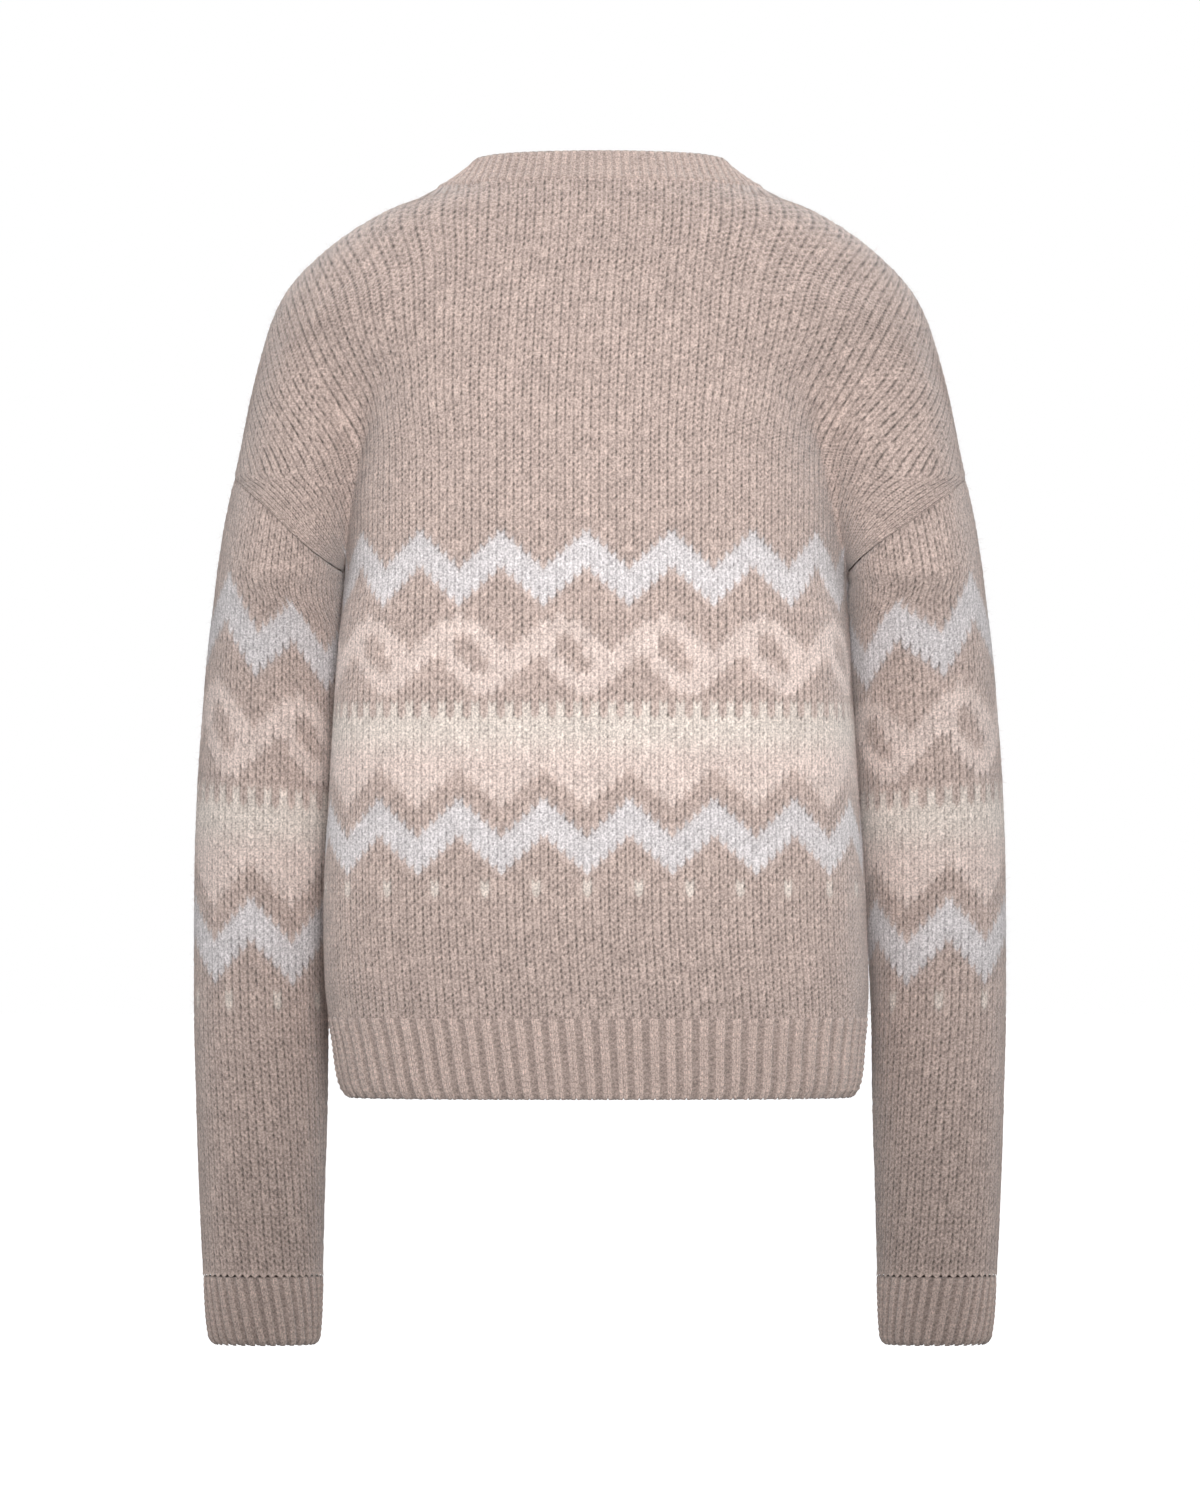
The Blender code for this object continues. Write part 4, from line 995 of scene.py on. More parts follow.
@dataclass
class WaleFan:
    """How wales spread over a half panel: straight in the torso, fanned out over the shoulder."""

    surface: PanelSurface
    half_wales: int = 49
    gauge: Gauge = Gauge()
    edge_power: float = 9.0
    ridge_heights: tuple = (0.030, -0.174)
    margin: float = 0.002
    probe: float = 0.0015
    least_turn: float = 0.2
    slopes: tuple = (-1.6, 0.6)

    @property
    def half_width(self) -> float:
        """Half the panel's flat width."""
        return self.half_wales * self.gauge.wale

    def leaves_at(self, u: ArrayLike) -> np.ndarray:
        """The height at which a wale meets the shoulder seam."""
        z = np.linspace(*self.ridge_heights, 400)
        return np.interp(u, EXIT.at("last_wale", z), z)

    def share(self, u: ArrayLike, z: ArrayLike) -> np.ndarray:
        """How far across the section a wale lies at a height, as a share of the whole."""
        reach = self.surface.length(z)
        eased = self.surface.eased_length(z)
        last = EXIT.at("last_wale", z)
        inner = np.clip(u / last, 0.0, 1.0)
        power = SPREAD.at("power", z)
        across = u + (eased - last) * inner**power + (reach - eased) * inner**self.edge_power
        return np.clip(across / reach, 0.0, 1.0)

    def courses(self, start: np.ndarray, wales: np.ndarray) -> np.ndarray:
        """The height of each course along its way outwards, square to the wales.

        Args:
            start: The courses' heights in the panel's middle.
            wales: Distances from the middle, in metres, evenly spaced from 0.

        Returns:
            Heights with a row for each distance and a column for each course.
        """
        z = start.copy()
        found = [z.copy()]
        step = wales[1] - wales[0]
        lowest = self.surface.heights[0] + self.margin
        highest = self.surface.top - self.margin
        d = self.probe
        for u in wales[:-1]:
            where = np.clip(z, lowest, highest)
            here = self.share(u, where)
            lean = (self.share(u, where + d) - self.share(u, where - d)) / (2 * d)
            gain = (self.share(u + step / 2, where) - self.share(max(u - step / 2, 0.0), where))
            gain = gain / (step if u > 0.0 else step / 2)
            across, up = self.surface.slopes(here, where)
            wale = across * lean[:, None] + up
            ratio = np.sum(across * wale, axis=1) / np.maximum(np.sum(up * wale, axis=1), 1e-6)
            slope = -ratio * gain / np.maximum(1.0 + ratio * lean, self.least_turn)
            z = z + np.clip(slope, *self.slopes) * step
            found.append(z.copy())
        return np.array(found)


@dataclass
class BodyPanel:
    """A panel of the body in plain knitting with the yoke worked in."""

    form: WornForm
    name: str
    face: int
    fan: WaleFan
    chart: YokeChart
    plain_rows: int = 18
    chart_course: float = 0.00442
    upper_rows: int = 68
    chart_top: float = -0.2070
    neck_tuck: float = 0.0012
    first_course: int = -5
    hem_tuck: float = 0.0008
    seam_welt: float = 0.0004
    ridge_dip: float = 0.0012
    seam_reach: float = 0.0026
    front_start: float = 0.0149
    cord_wales: tuple = (0.45, 0.80)
    cord_heights: tuple = (-0.235, -0.185)
    plain_share: float = 0.80
    plain_drop: float = 0.003
    relief_seed: int = 5
    heather_seed: int = 3

    def course_height(self, v: np.ndarray) -> np.ndarray:
        """The height of a course in the panel's middle, counted up from the hem rib."""
        course = self.fan.gauge.course
        charted = np.clip(v - self.plain_rows, 0.0, self.chart.rows)
        charted_top = self.chart_top - self.chart_course * self.chart.rows
        lower = (charted_top - self.form.hem_top) / self.plain_rows
        below = np.minimum(v, self.plain_rows)
        above = np.maximum(v - self.plain_rows - self.chart.rows, 0.0)
        return self.form.hem_top + lower * below + self.chart_course * charted + course * above

    def top_height(self, u: np.ndarray) -> np.ndarray:
        """The height at which a wale ends: at the neckline or at the shoulder seam."""
        ridge = self.fan.leaves_at(u)
        if self.face < 0:
            z = np.linspace(0.0, self.form.back_neck_rise, 300)
            share = self.fan.share(u[:, None], z[None, :])
            beyond = z[None, :] >= self.form.back_neck(share)
        else:
            z = np.linspace(-self.form.front_neck_drop, 0.0, 500)
            share = self.fan.share(u[:, None], z[None, :])
            across = self.fan.surface.point(share, np.broadcast_to(z, share.shape))[..., 0]
            beyond = across <= self.form.front_neck(z)[None, :]
        neck = np.where(beyond.any(axis=1), z[np.argmax(beyond, axis=1)] + self.neck_tuck, 1.0)
        return np.minimum(neck, ridge)

    def cloth(self, side: int) -> KnitCloth:
        """The stitches of the half panel on one side, or of the whole back.

        Args:
            side: 1 or -1 for a front on the right or left, 0 for both halves in one.

        Returns:
            The knitting, ready to be built.
        """
        gauge = self.fan.gauge
        rows = self.plain_rows + self.chart.rows + self.upper_rows
        half = np.arange(2 * self.first_course, 2 * rows + 1)
        last = self.fan.half_wales * gauge.quarters
        first = 0 if side == 0 else int(round(self.front_start / gauge.wale * gauge.quarters))
        quarter = np.arange(0, last + 1)
        slant = gauge.slant_of(quarter)
        wales = quarter * gauge.wale / gauge.quarters
        steps = np.arange(2 * self.first_course, 2 * rows + 6) / 2.0
        paths = self.fan.courses(self.course_height(steps), wales)
        v = half[None, :] / 2.0 + slant[:, None]
        z = np.array([np.interp(v[c], steps, paths[c]) for c in range(len(wales))])
        top = self.top_height(wales)[:, None]
        z = np.clip(z, self.form.hem_top - self.hem_tuck, top)
        u = np.broadcast_to(wales[:, None], z.shape)
        share = self.fan.share(u, z)
        base = self.fan.surface.point(share, z)
        normal = self.fan.surface.normal(share, z)
        pulled = ramp(u / self.fan.half_width, *self.cord_wales) * ramp(z, *self.cord_heights)
        lift, level = stitch_relief(gauge, quarter, half, self.relief_seed + self.face, pulled)
        ridge = np.where(top == self.fan.leaves_at(wales)[:, None], top - z, 1.0)
        facing = self.form.facing(base[..., 0])
        lift += self.seam_welt * facing * hump(self.fan.half_width - u, self.seam_reach)
        lift -= self.ridge_dip * hump(ridge, self.seam_reach)
        plan = stitch_plan(quarter / gauge.quarters, half / 2.0)
        outer = wales[:, None] > self.plain_share * self.fan.half_width
        hidden = (z[:, 1:] > self.form.underarm - self.plain_drop) & outer
        if side == 0:
            base, normal = doubled(base, MIRROR), doubled(normal, MIRROR)
            lift, level, hidden = doubled(lift), doubled(level), doubled(hidden)
            plan = doubled(plan, np.array([-1.0, 1.0]))
            quarter = doubled(quarter, -1)
        else:
            parts = (base, normal, lift, level, plan, hidden, quarter)
            base, normal, lift, level, plan, hidden, quarter = (part[first:] for part in parts)
        stitch = gauge.stitch_of(quarter)
        row = self.plain_rows + self.chart.rows - 1 - half[:-1] // 2
        colour = self.chart.colours(stitch[:, None], row[None, :])
        colour[hidden] = Yarn.TAUPE.value
        colour = heathered(colour, stitch, row, self.heather_seed + self.face)
        level = painted_shade_eased_on_pale(level, colour)
        cloth = KnitCloth(self.name, base, normal, lift, level, colour, plan, self.form.turned)
        return mirrored(cloth) if side < 0 else cloth


def painted_shade_eased_on_pale(level: np.ndarray, colour: np.ndarray, share: float = 0.42) -> np.ndarray:
    """The levels with shallower hollows in the pale yarns, so less painted hollow shade there, as if their
    fibres glowed in the light.
    """
    taupe = sum(Yarn.TAUPE.value)
    pale = np.clip((colour.sum(axis=-1) - taupe) / (sum(Yarn.FROST.value) - taupe), 0.0, 1.0)
    pale = np.pad(pale, ((0, 0), (0, 1)), mode="edge")
    return level + (1.0 - level) * share * pale


def mirrored(cloth: KnitCloth) -> KnitCloth:
    """The same knitting on the other side of the middle."""
    cloth.base = cloth.base * MIRROR
    cloth.normal = cloth.normal * MIRROR
    return cloth


def heathered(colour: np.ndarray, stitch: np.ndarray, row: np.ndarray, seed: int) -> np.ndarray:
    """The same colours with a small change of tone from stitch to stitch."""
    noise = np.random.default_rng(seed).normal(0.0, 1.0, (HEATHER_DRAWS,))
    across, down, both = HEATHER_STRIDES
    wale, course = stitch[:, None], row[None, :]
    index = np.abs(wale * across + course * down + (wale * course) % both)
    tone = noise[index % HEATHER_DRAWS]
    return np.clip(colour * (1.0 + HEATHER_CHANGE * tone[..., None]), 0.0, 1.0)


SEAM_TURNS = np.linspace(0.0, math.pi, 200)


@dataclass
class Sleeve:
    """A sleeve: wales run down it from its outer line, and taper away at the inner seam."""

    form: WornForm
    name: str
    chart: YokeChart
    gauge: Gauge = Gauge()
    upper_rows: int = 11
    chart_course: float = 0.00508
    lower_course: float = 0.0040
    lower_rows: int = 39
    level_reach: float = 0.078
    shifts: tuple = (7, 3)
    tuck: float = 0.0008
    tuck_dip: float = 0.0008
    end_lift: float = 0.0005
    seam_dip: float = 0.0015
    seam_reach: float = 0.0026
    cuff_reach: float = 0.0024
    cuff_fill: float = 0.8
    tuck_reach: float = 0.0012
    turn_step: float = 0.01
    depth_step: float = 0.001
    ring_levels: int = 262
    ring_points: int = 241
    relief_seed: int = 9
    heather_seed: int = 11

    def depth(self, v: np.ndarray) -> np.ndarray:
        """The way down from the armhole seam's middle, for a course counted from the top."""
        upper = np.clip(v, -1.0, self.upper_rows)
        charted = np.clip(v - self.upper_rows, 0.0, self.chart.rows)
        lower = np.clip(v - self.upper_rows - self.chart.rows, 0.0, None)
        return upper * self.gauge.course + charted * self.chart_course + lower * self.lower_course

    def rings(self, depth: np.ndarray, turns: np.ndarray) -> np.ndarray:
        """Points of rings that start along the slanted seam and level out further down."""
        seam = self.form.seam_level(np.where(turns <= math.pi, turns, 2 * math.pi - turns))
        return self._on_arm(seam[:, None], turns[:, None], depth[None, :])

    def _on_arm(self, seam: np.ndarray, turn: np.ndarray, depth: np.ndarray) -> np.ndarray:
        """Places on the arm, from the seam's height above them, their turn and their depth."""
        middle = self.form.armhole_middle
        lean = (seam - middle) * np.exp(-depth / self.level_reach)
        z = np.clip(middle - depth + lean, self.form.cuff_top - self.tuck, None)
        return np.concatenate([self.form.arm_point(z, turn), z[..., None]], axis=-1)

    def cloth(self, side: int) -> KnitCloth:
        """The sleeve's stitches.

        Args:
            side: 1 for the right, -1 for the left.

        Returns:
            The knitting, ready to be built.
        """
        rows = self.upper_rows + self.chart.rows + self.lower_rows
        half = np.arange(0, 2 * rows + 1)
        v = half / 2.0
        fine = np.linspace(-1.0, rows + 1.0, self.ring_levels)
        depth = self.depth(fine)
        middle = self.form.armhole_middle
        depth = np.minimum(depth, middle - self.form.cuff_top + self.tuck)
        turns = np.linspace(0.0, math.pi, self.ring_points)
        back = self.rings(depth, turns)
        front = self.rings(depth, 2 * math.pi - turns)
        run_back = np.array([running_length(back[:, k]) for k in range(len(fine))])
        run_front = np.array([running_length(front[:, k]) for k in range(len(fine))])
        most = int(math.ceil(run_back[:, -1].max() / self.gauge.wale * self.gauge.quarters))
        quarter = np.arange(-most, most + 1)
        slant = self.gauge.slant_of(quarter)
        u = quarter * self.gauge.wale / self.gauge.quarters
        turn = np.empty((len(quarter), len(fine)))
        for k in range(len(fine)):
            fore = -np.interp(-u, run_front[k], turns)
            turn[:, k] = np.where(u >= 0, np.interp(u, run_back[k], turns), fore)
        where = np.clip(v[None, :] - slant[:, None], -0.4, rows)
        at = (where - fine[0]) / (fine[1] - fine[0])
        k = np.clip(at.astype(int), 0, len(fine) - 2)
        t = at - k
        c = np.arange(len(quarter))[:, None]
        turn = turn[c, k] * (1 - t) + turn[c, k + 1] * t
        deep = depth[k] * (1 - t) + depth[k + 1] * t
        base, normal = self._place(turn, deep)
        lift, level = stitch_relief(self.gauge, quarter, half, self.relief_seed)
        reach = np.interp(where, fine, run_back[:, -1])
        edge = np.minimum(reach - np.abs(u)[:, None], deep)
        facing = self.form.facing(base[..., 0])
        lift = lift - self.seam_dip * facing * hump(np.maximum(edge, 0.0), self.seam_reach)
        lift -= self.tuck_dip * ramp(-deep, 0.0, self.tuck_reach)
        near = hump(base[..., 2] - self.form.cuff_top, self.cuff_reach)
        lift += near * (self.end_lift - lift)
        # Less painted hollow shade just above the cuff.
        level += near * self.cuff_fill * (1.0 - level)
        plan = stitch_plan(quarter / self.gauge.quarters, v)
        stitch = -side * self.gauge.stitch_of(quarter) + self.shifts[side < 0]
        row = half[:-1] // 2 - self.upper_rows
        colour = self.chart.colours(stitch[:, None], row[None, :])
        colour = heathered(colour, stitch, row, self.heather_seed)
        level = painted_shade_eased_on_pale(level, colour)
        cloth = KnitCloth(self.name, base, normal, lift, level, colour, plan, self.form.turned)
        return cloth if side > 0 else mirrored(cloth)

    def _place(self, turn: np.ndarray, depth: np.ndarray) -> tuple:
        """The place and outward normal of points given by their turn and depth."""
        seam_levels = self.form.seam_level(SEAM_TURNS)

        def at(turn: np.ndarray, depth: np.ndarray) -> np.ndarray:
            """The place on the sleeve at a turn and a depth."""
            seam = np.interp(np.abs(turn), SEAM_TURNS, seam_levels)
            return self._on_arm(seam, turn, depth)

        d = self.turn_step
        h = self.depth_step
        around = at(turn + d, depth) - at(turn - d, depth)
        down = at(turn, depth + h) - at(turn, np.maximum(depth - h, 0.0))
        out = unit(np.cross(around, down))
        place = at(turn, depth)
        middle_x, middle_y, _, _ = self.form.arm_ring(place[..., 2])
        away = place[..., :2] - np.stack([middle_x, middle_y], axis=-1)
        sign = np.sign(np.sum(out[..., :2] * away, axis=-1, keepdims=True))
        return place, out * np.where(sign == 0, 1.0, sign)


@dataclass
class StripSurface:
    """A strip given by rows of points, read by its shares across and up."""

    points: np.ndarray
    out: int = 1
    across_step: float = 0.004
    up_step: float = 0.06

    def point(self, across: np.ndarray, up: np.ndarray) -> np.ndarray:
        """The place at a share across and a share up."""
        rows, columns = self.points.shape[:2]
        column = np.clip(across, 0.0, 1.0) * (columns - 1)
        row = np.clip(up, 0.0, 1.0) * (rows - 1)
        return between(self.points, row, column)

    def normal(self, across: np.ndarray, up: np.ndarray) -> np.ndarray:
        """The outward normal at a share across and a share up."""
        d = self.across_step
        h = self.up_step
        low, high = np.clip(across - d, 0.0, 1.0), np.clip(across + d, 0.0, 1.0)
        under, over = np.clip(up - h, 0.0, 1.0), np.clip(up + h, 0.0, 1.0)
        along = self.point(high, up) - self.point(low, up)
        rise = self.point(across, over) - self.point(across, under)
        return unit(np.cross(along, rise) * self.out)


@dataclass(frozen=True)
class RibStitch:
    """Two by two ribbing: two raised wales and a valley of purl bumps, twelve columns a rib."""

    rise: float = 0.0011
    leg: float = 0.0006
    bump: float = 0.0004
    course: float = 0.0038
    slant: float = 0.6
    places: tuple = (0.0, 0.07, 0.14, 0.21, 0.28, 0.35, 0.42, 0.49, 0.56, 0.67, 0.78, 0.89)
    ridge: tuple = (0.55, 1.0, 1.0, 1.0, 0.9, 1.0, 1.0, 1.0, 0.55, 0.0, 0.0, 0.0)
    legs: tuple = (0.2, 1.0, 0.4, 1.0, 0.0, 1.0, 0.4, 1.0, 0.2, 0.0, 0.0, 0.0)
    bumps: tuple = (0.0, 0.0, 0.0, 0.0, 0.0, 0.0, 0.0, 0.0, 0.0, 0.8, 1.0, 0.8)
    slants: tuple = (1.0, 0.5, 0.0, 0.5, 1.0, 0.5, 0.0, 0.5, 1.0, 0.6, 0.5, 0.6)
    wale_columns: int = 4
    leg_rows: tuple = (0.25, 1.0)
    bump_rows: tuple = (1.0, 0.1)
    leg_mean: float = 0.3
    bump_mean: float = 0.4
    end_reach: float = 0.004
    end_rise: tuple = (0.45, 0.55)
    # Weights of the level that sets the painted shade: valley, ridge, legs and purl bumps.
    shades: tuple = (0.12, 0.34, 0.52, 0.26)
    worn: float = 0.25
    seam_dip: float = 0.0012
    seam_dip_reach: float = 0.0016
    seam_welt: float = 0.0007
    seam_welt_height: float = 0.0035
    seam_welt_reach: float = 0.0014


@dataclass
class RibStrip:
    """A ribbed strip with a plain inner side, closed all round."""

    name: str
    surface: StripSurface
    stitch: RibStitch
    ribs: int
    courses: int
    wall: float = 0.0030
    closed: bool = False
    start_column: int = 0
    warp: Callable[[np.ndarray], np.ndarray] | None = None
    seam_row: bool = False
    sink: float = 0.0
    relief_seed: int = 31
    heather_seed: int = 23

    def cloth(self) -> KnitCloth:
        """The strip's stitches."""
        s = self.stitch
        per = len(s.places)
        count = self.ribs * per + (0 if self.closed else 1)
        index = np.arange(count) + self.start_column
        part = np.mod(index, per)
        place = np.array(s.places)[part] + index // per
        place = (place - place[0]) / (self.ribs if self.closed else place[-1] - place[0])
        half = np.arange(0, 2 * self.courses + 1)
        slant = s.slant * np.array(s.slants)[part]
        v = half[None, :] / 2.0 + slant[:, None] - s.slant / 2
        up = np.clip(v / self.courses, 0.0, 1.0)
        across = np.broadcast_to(place[:, None], up.shape)
        base = self.surface.point(across, up)
        normal = self.surface.normal(across, up)
        lift, level = self._relief(part, half, up)
        inner_across = place[::per]
        grid_across = np.broadcast_to(inner_across[:, None], (len(inner_across), 2))
        grid_up = np.broadcast_to(np.array([0.0, 1.0]), grid_across.shape)
        inner = self.surface.point(grid_across, grid_up)
        inner = inner - self.surface.normal(grid_across, grid_up) * self.wall
        corners = np.arange(count + int(self.closed))
        plan = stitch_plan(corners / s.wale_columns, half / 2.0)
        colour = np.full((count, len(half) - 1, 3), Yarn.TAUPE.value)
        colour = heathered(colour, index // s.wale_columns, half[:-1] // 2, self.heather_seed)
        knitting = (base, normal, lift, level, colour, plan)
        wall = {"inner": inner, "inner_step": per, "closed": self.closed}
        return KnitCloth(self.name, *knitting, warp=self.warp, **wall)

    def _relief(self, part: np.ndarray, half: np.ndarray, up: np.ndarray) -> tuple:
        """The ribs' relief.

        Args:
            part: The column of the rib that each column is.
            half: The row numbers, in half courses.
            up: The share of the way up, for each grid point.

        Returns:
            The lift of each grid point, and its level from 0 in a valley to 1 on a leg, which sets the
            painted shade.
        """
        s = self.stitch
        row = np.mod(half, 2)
        ridge = np.array(s.ridge)[part][:, None]
        leg = np.array(s.legs)[part][:, None] * np.array(s.leg_rows)[row][None, :]
        bump = np.array(s.bumps)[part][:, None] * np.array(s.bump_rows)[row][None, :]
        end = np.minimum(up, 1.0 - up) * self.courses * s.course
        soft = np.clip(end / s.end_reach, 0.0, 1.0) ** 0.5
        least, more = s.end_rise
        stitches = s.leg * (leg - s.leg_mean) + s.bump * (bump - s.bump_mean)
        lift = s.rise * ridge * (least + more * soft) + stitches * soft
        lift -= self.sink
        if self.seam_row:
            low = up * self.courses * s.course
            lift -= s.seam_dip * hump(low, s.seam_dip_reach)
            lift += s.seam_welt * hump(low - s.seam_welt_height, s.seam_welt_reach)
        # Painted shade: the level is lowest in the valleys, higher on ridges, legs and bumps, and lowered at
        # random.
        valley, high, pale, purl = s.shades
        level = np.clip(valley + high * ridge + pale * leg + purl * bump, 0.0, 1.0)
        worn = 1.0 - s.worn * np.random.default_rng(self.relief_seed).random(up.shape)
        return lift, np.broadcast_to(level, up.shape) * worn


@dataclass
class Ribbing:
    """The garment's ribbed edges: hem, cuffs, neckband and button bands."""

    form: WornForm
    hem_pitch: float = 0.0098
    cuff_pitch: float = 0.0070
    hem_rise: float = 0.0009
    hem_leg: float = 0.0011
    cuff_twist: float = -0.20
    neck_pitch: float = 0.0056
    hem_courses: int = 13
    cuff_courses: int = 11
    neck_courses: int = 6
    under_reach: float = 0.0100
    band_step: float = 0.0033
    band_ramp: float = 0.0050
    gap: float = 0.0003
    side_gap: float = 0.00003
    cuff_sink: float = 0.0007
    first_column: int = 4
    neck_relief: tuple = (0.0006, 0.0004, 0.0002)
    neck_easing: tuple = (30, 9.0)
    front_square: float = 0.012
    band_heights: tuple = (-0.485, -0.0705)
    band_easing: tuple = (4, 2.0)
    band_course: float = 0.0040
    ring_points: int = 500
    strip_points: int = 260
    cuff_points: int = 361
    search_points: int = 900
    path_points: int = 240

    @staticmethod
    def _ribs(rows: list, pitch: float) -> int:
        """How many ribs fit a strip at its middle height."""
        return int(round(running_length(rows[len(rows) // 2])[-1] / pitch))

    def _ring(self, z: float, low: float, high: float) -> np.ndarray:
        """Points of the torso's right half ring between two running lengths."""
        line = self.form.torso_half(z, -1, self.ring_points)
        where = np.linspace(low, high, self.strip_points)
        flat = points_at(line, running_length(line), where)
        return np.column_stack([flat, np.full(self.strip_points, z)])

    def _marks(self, z: float) -> tuple:
        """The running lengths of the side seam and of the band's edge on the half ring."""
        line = self.form.torso_half(z, -1, self.ring_points)
        run = running_length(line)
        seam = int(np.argmax(line[:, 1] >= self.form.seam_y))
        t = (self.form.seam_y - line[seam - 1, 1]) / (line[seam, 1] - line[seam - 1, 1])
        fore = len(run) // 2 + int(np.argmax(line[len(run) // 2 :, 0] <= self.form.band_width / 2))
        return run[seam - 1] + t * (run[seam] - run[seam - 1]), run[fore]

    def hem_levels(self) -> np.ndarray:
        """The heights at which the hem's form is taken, from its bottom up."""
        return np.linspace(self.form.hem_bottom, self.form.hem_top - self.gap, 16)

    def hem_back(self) -> RibStrip:
        """The hem under the back, from side seam to side seam."""
        rows = []
        for z in self.hem_levels():
            half = self._ring(z, 0.0, self._marks(z)[0] - self.side_gap)
            rows.append(doubled(half, MIRROR))
        return self._hem("hem_back_rib", rows)

    def hem_front(self, side: int) -> RibStrip:
        """The hem under a front, from the side seam to the button band."""
        rows = []
        for z in self.hem_levels():
            seam, band = self._marks(z)
            ring = self._ring(z, seam + self.side_gap, band - self.gap)
            rows.append(ring * np.array([side, 1.0, 1.0]))
        return self._hem(f"hem_front_{SIDES[side]}_rib", rows, side)

    def _hem(self, name: str, rows: list, side: int = 1) -> RibStrip:
        """A piece of the hem from its rings."""
        return RibStrip(
            name,
            StripSurface(np.array(rows), out=side),
            RibStitch(self.hem_rise, self.hem_leg),
            self._ribs(rows, self.hem_pitch),
            self.hem_courses,
            warp=self.form.turned,
            start_column=self.first_column,
        )

    def cuff(self, side: int) -> RibStrip:
        """A cuff, once round the sleeve's end."""
        rows = []
        for z in np.linspace(self.form.cuff_bottom, self.form.cuff_top - self.gap, 14):
            down = (self.form.cuff_top - z) / (self.form.cuff_top - self.form.cuff_bottom)
            turn = np.linspace(0.0, 2 * math.pi, self.cuff_points) + self.cuff_twist * down
            level = np.full(self.cuff_points, z)
            flat = self.form.arm_point(level, -turn)
            rows.append(np.column_stack([flat, level]) * np.array([side, 1.0, 1.0]))
        return RibStrip(
            f"cuff_{SIDES[side]}_rib",
            StripSurface(np.array(rows), out=side),
            RibStitch(),
            self._ribs(rows, self.cuff_pitch),
            self.cuff_courses,
            closed=True,
            sink=self.cuff_sink,
        )

    def neckline(self, back: PanelSurface, front: PanelSurface, count: int = 300) -> np.ndarray:
        """The neckline's right half, from the back's middle to the button band."""
        share = np.linspace(0.0, 1.0, 120)
        rear = back.point(share, self.form.back_neck(share))
        drop = np.linspace(0.0, 1.0, 200)[1:]
        z = -self.form.front_neck_drop * drop**1.5
        x = np.maximum(self.form.front_neck(z), self.form.band_width / 2)
        fore = []
        across = np.linspace(0.0, 1.0, self.search_points)
        for height, wide in zip(z, x):
            line = front.point(across, np.full(self.search_points, height))
            fore.append(line[int(np.argmax(line[:, 0] >= wide - 1e-9))])
        line = np.concatenate([rear, np.array(fore)])
        keep = np.concatenate([[True], np.linalg.norm(np.diff(line, axis=0), axis=1) > 1e-6])
        return even_points(line[keep], count)

    def neck_rise(self, line: np.ndarray) -> np.ndarray:
        """For each point of the neckline, the direction of the band's rise across it."""
        run = running_length(line)
        middle = int(np.argmax(line[:, 0]))
        reach, width = self.neck_easing
        start = line[reach:0:-1] * MIRROR
        end = line[-2 : -reach - 2 : -1] * MIRROR + np.array([2 * line[-1, 0], 0.0, 0.0])
        longer = np.concatenate([start, line, end])
        line = smoothed(longer, bell(np.arange(-reach, reach + 1), width))
        turn = np.where(
            run <= run[middle],
            0.5 * run / run[middle],
            0.5 + 0.5 * (run - run[middle]) / (run[-1] - run[middle]),
        )
        tangent = unit(np.gradient(line, axis=0))
        flat = unit(np.stack([tangent[:, 1], -tangent[:, 0]], axis=1))
        lean = np.radians(NECK_LEAN.at("lean_degrees", turn))
        rise = np.column_stack([-flat * np.sin(lean)[:, None], np.cos(lean)])
        rise -= tangent * np.sum(rise * tangent, axis=1, keepdims=True)
        rise = unit(rise)
        rise[:, 0] *= ramp(run[-1] - run, 0.0, self.front_square)
        rise[0, 0] = 0.0
        return unit(rise)

    def neckband(self, line: np.ndarray, rise: np.ndarray) -> RibStrip:
        """The band round the back of the neck, from button band to button band."""
        rows = []
        for share in np.linspace(0.0, 1.0, 9):
            half = line + rise * (-self.gap + (self.form.neckband_width + self.gap) * share)
            rows.append(doubled(half, MIRROR)[1:-1])
        return RibStrip(
            "neckband_rib",
            StripSurface(np.array(rows)),
            RibStitch(*self.neck_relief),
            int(round(2 * running_length(line)[-1] / self.neck_pitch)),
            self.neck_courses,
            warp=self.form.turned,
            start_column=self.first_column,
            seam_row=True,
        )

    def band_path(self, front: PanelSurface, neck_end: np.ndarray, neck_rise: np.ndarray) -> np.ndarray:
        """The bands' path: y and z up the middle of the front, then up the neckband's end."""
        hem = np.linspace(self.form.hem_bottom, self.form.hem_top, 12)
        line = []
        for z in np.concatenate([hem, np.linspace(*self.band_heights, 80)]):
            if z <= self.form.hem_top:
                line.append((float(TORSO.at("front", z)), z))
            else:
                line.append((float(front.point(np.array(0.0), np.array(z))[1]), z))
        rise = neck_rise[1:] / np.linalg.norm(neck_rise[1:])
        width = self.form.neckband_width
        tail = [neck_end[1:] + rise * width * share for share in np.linspace(0.0, 1.0, 7)]
        path = even_points(np.concatenate([np.array(line), tail]), self.path_points)
        reach, spread = self.band_easing
        start = 2 * path[0] - path[reach:0:-1]
        end = 2 * path[-1] - path[-2 : -reach - 2 : -1]
        padded = np.concatenate([start, path, end])
        return smoothed(padded, bell(np.arange(-reach, reach + 1), spread))

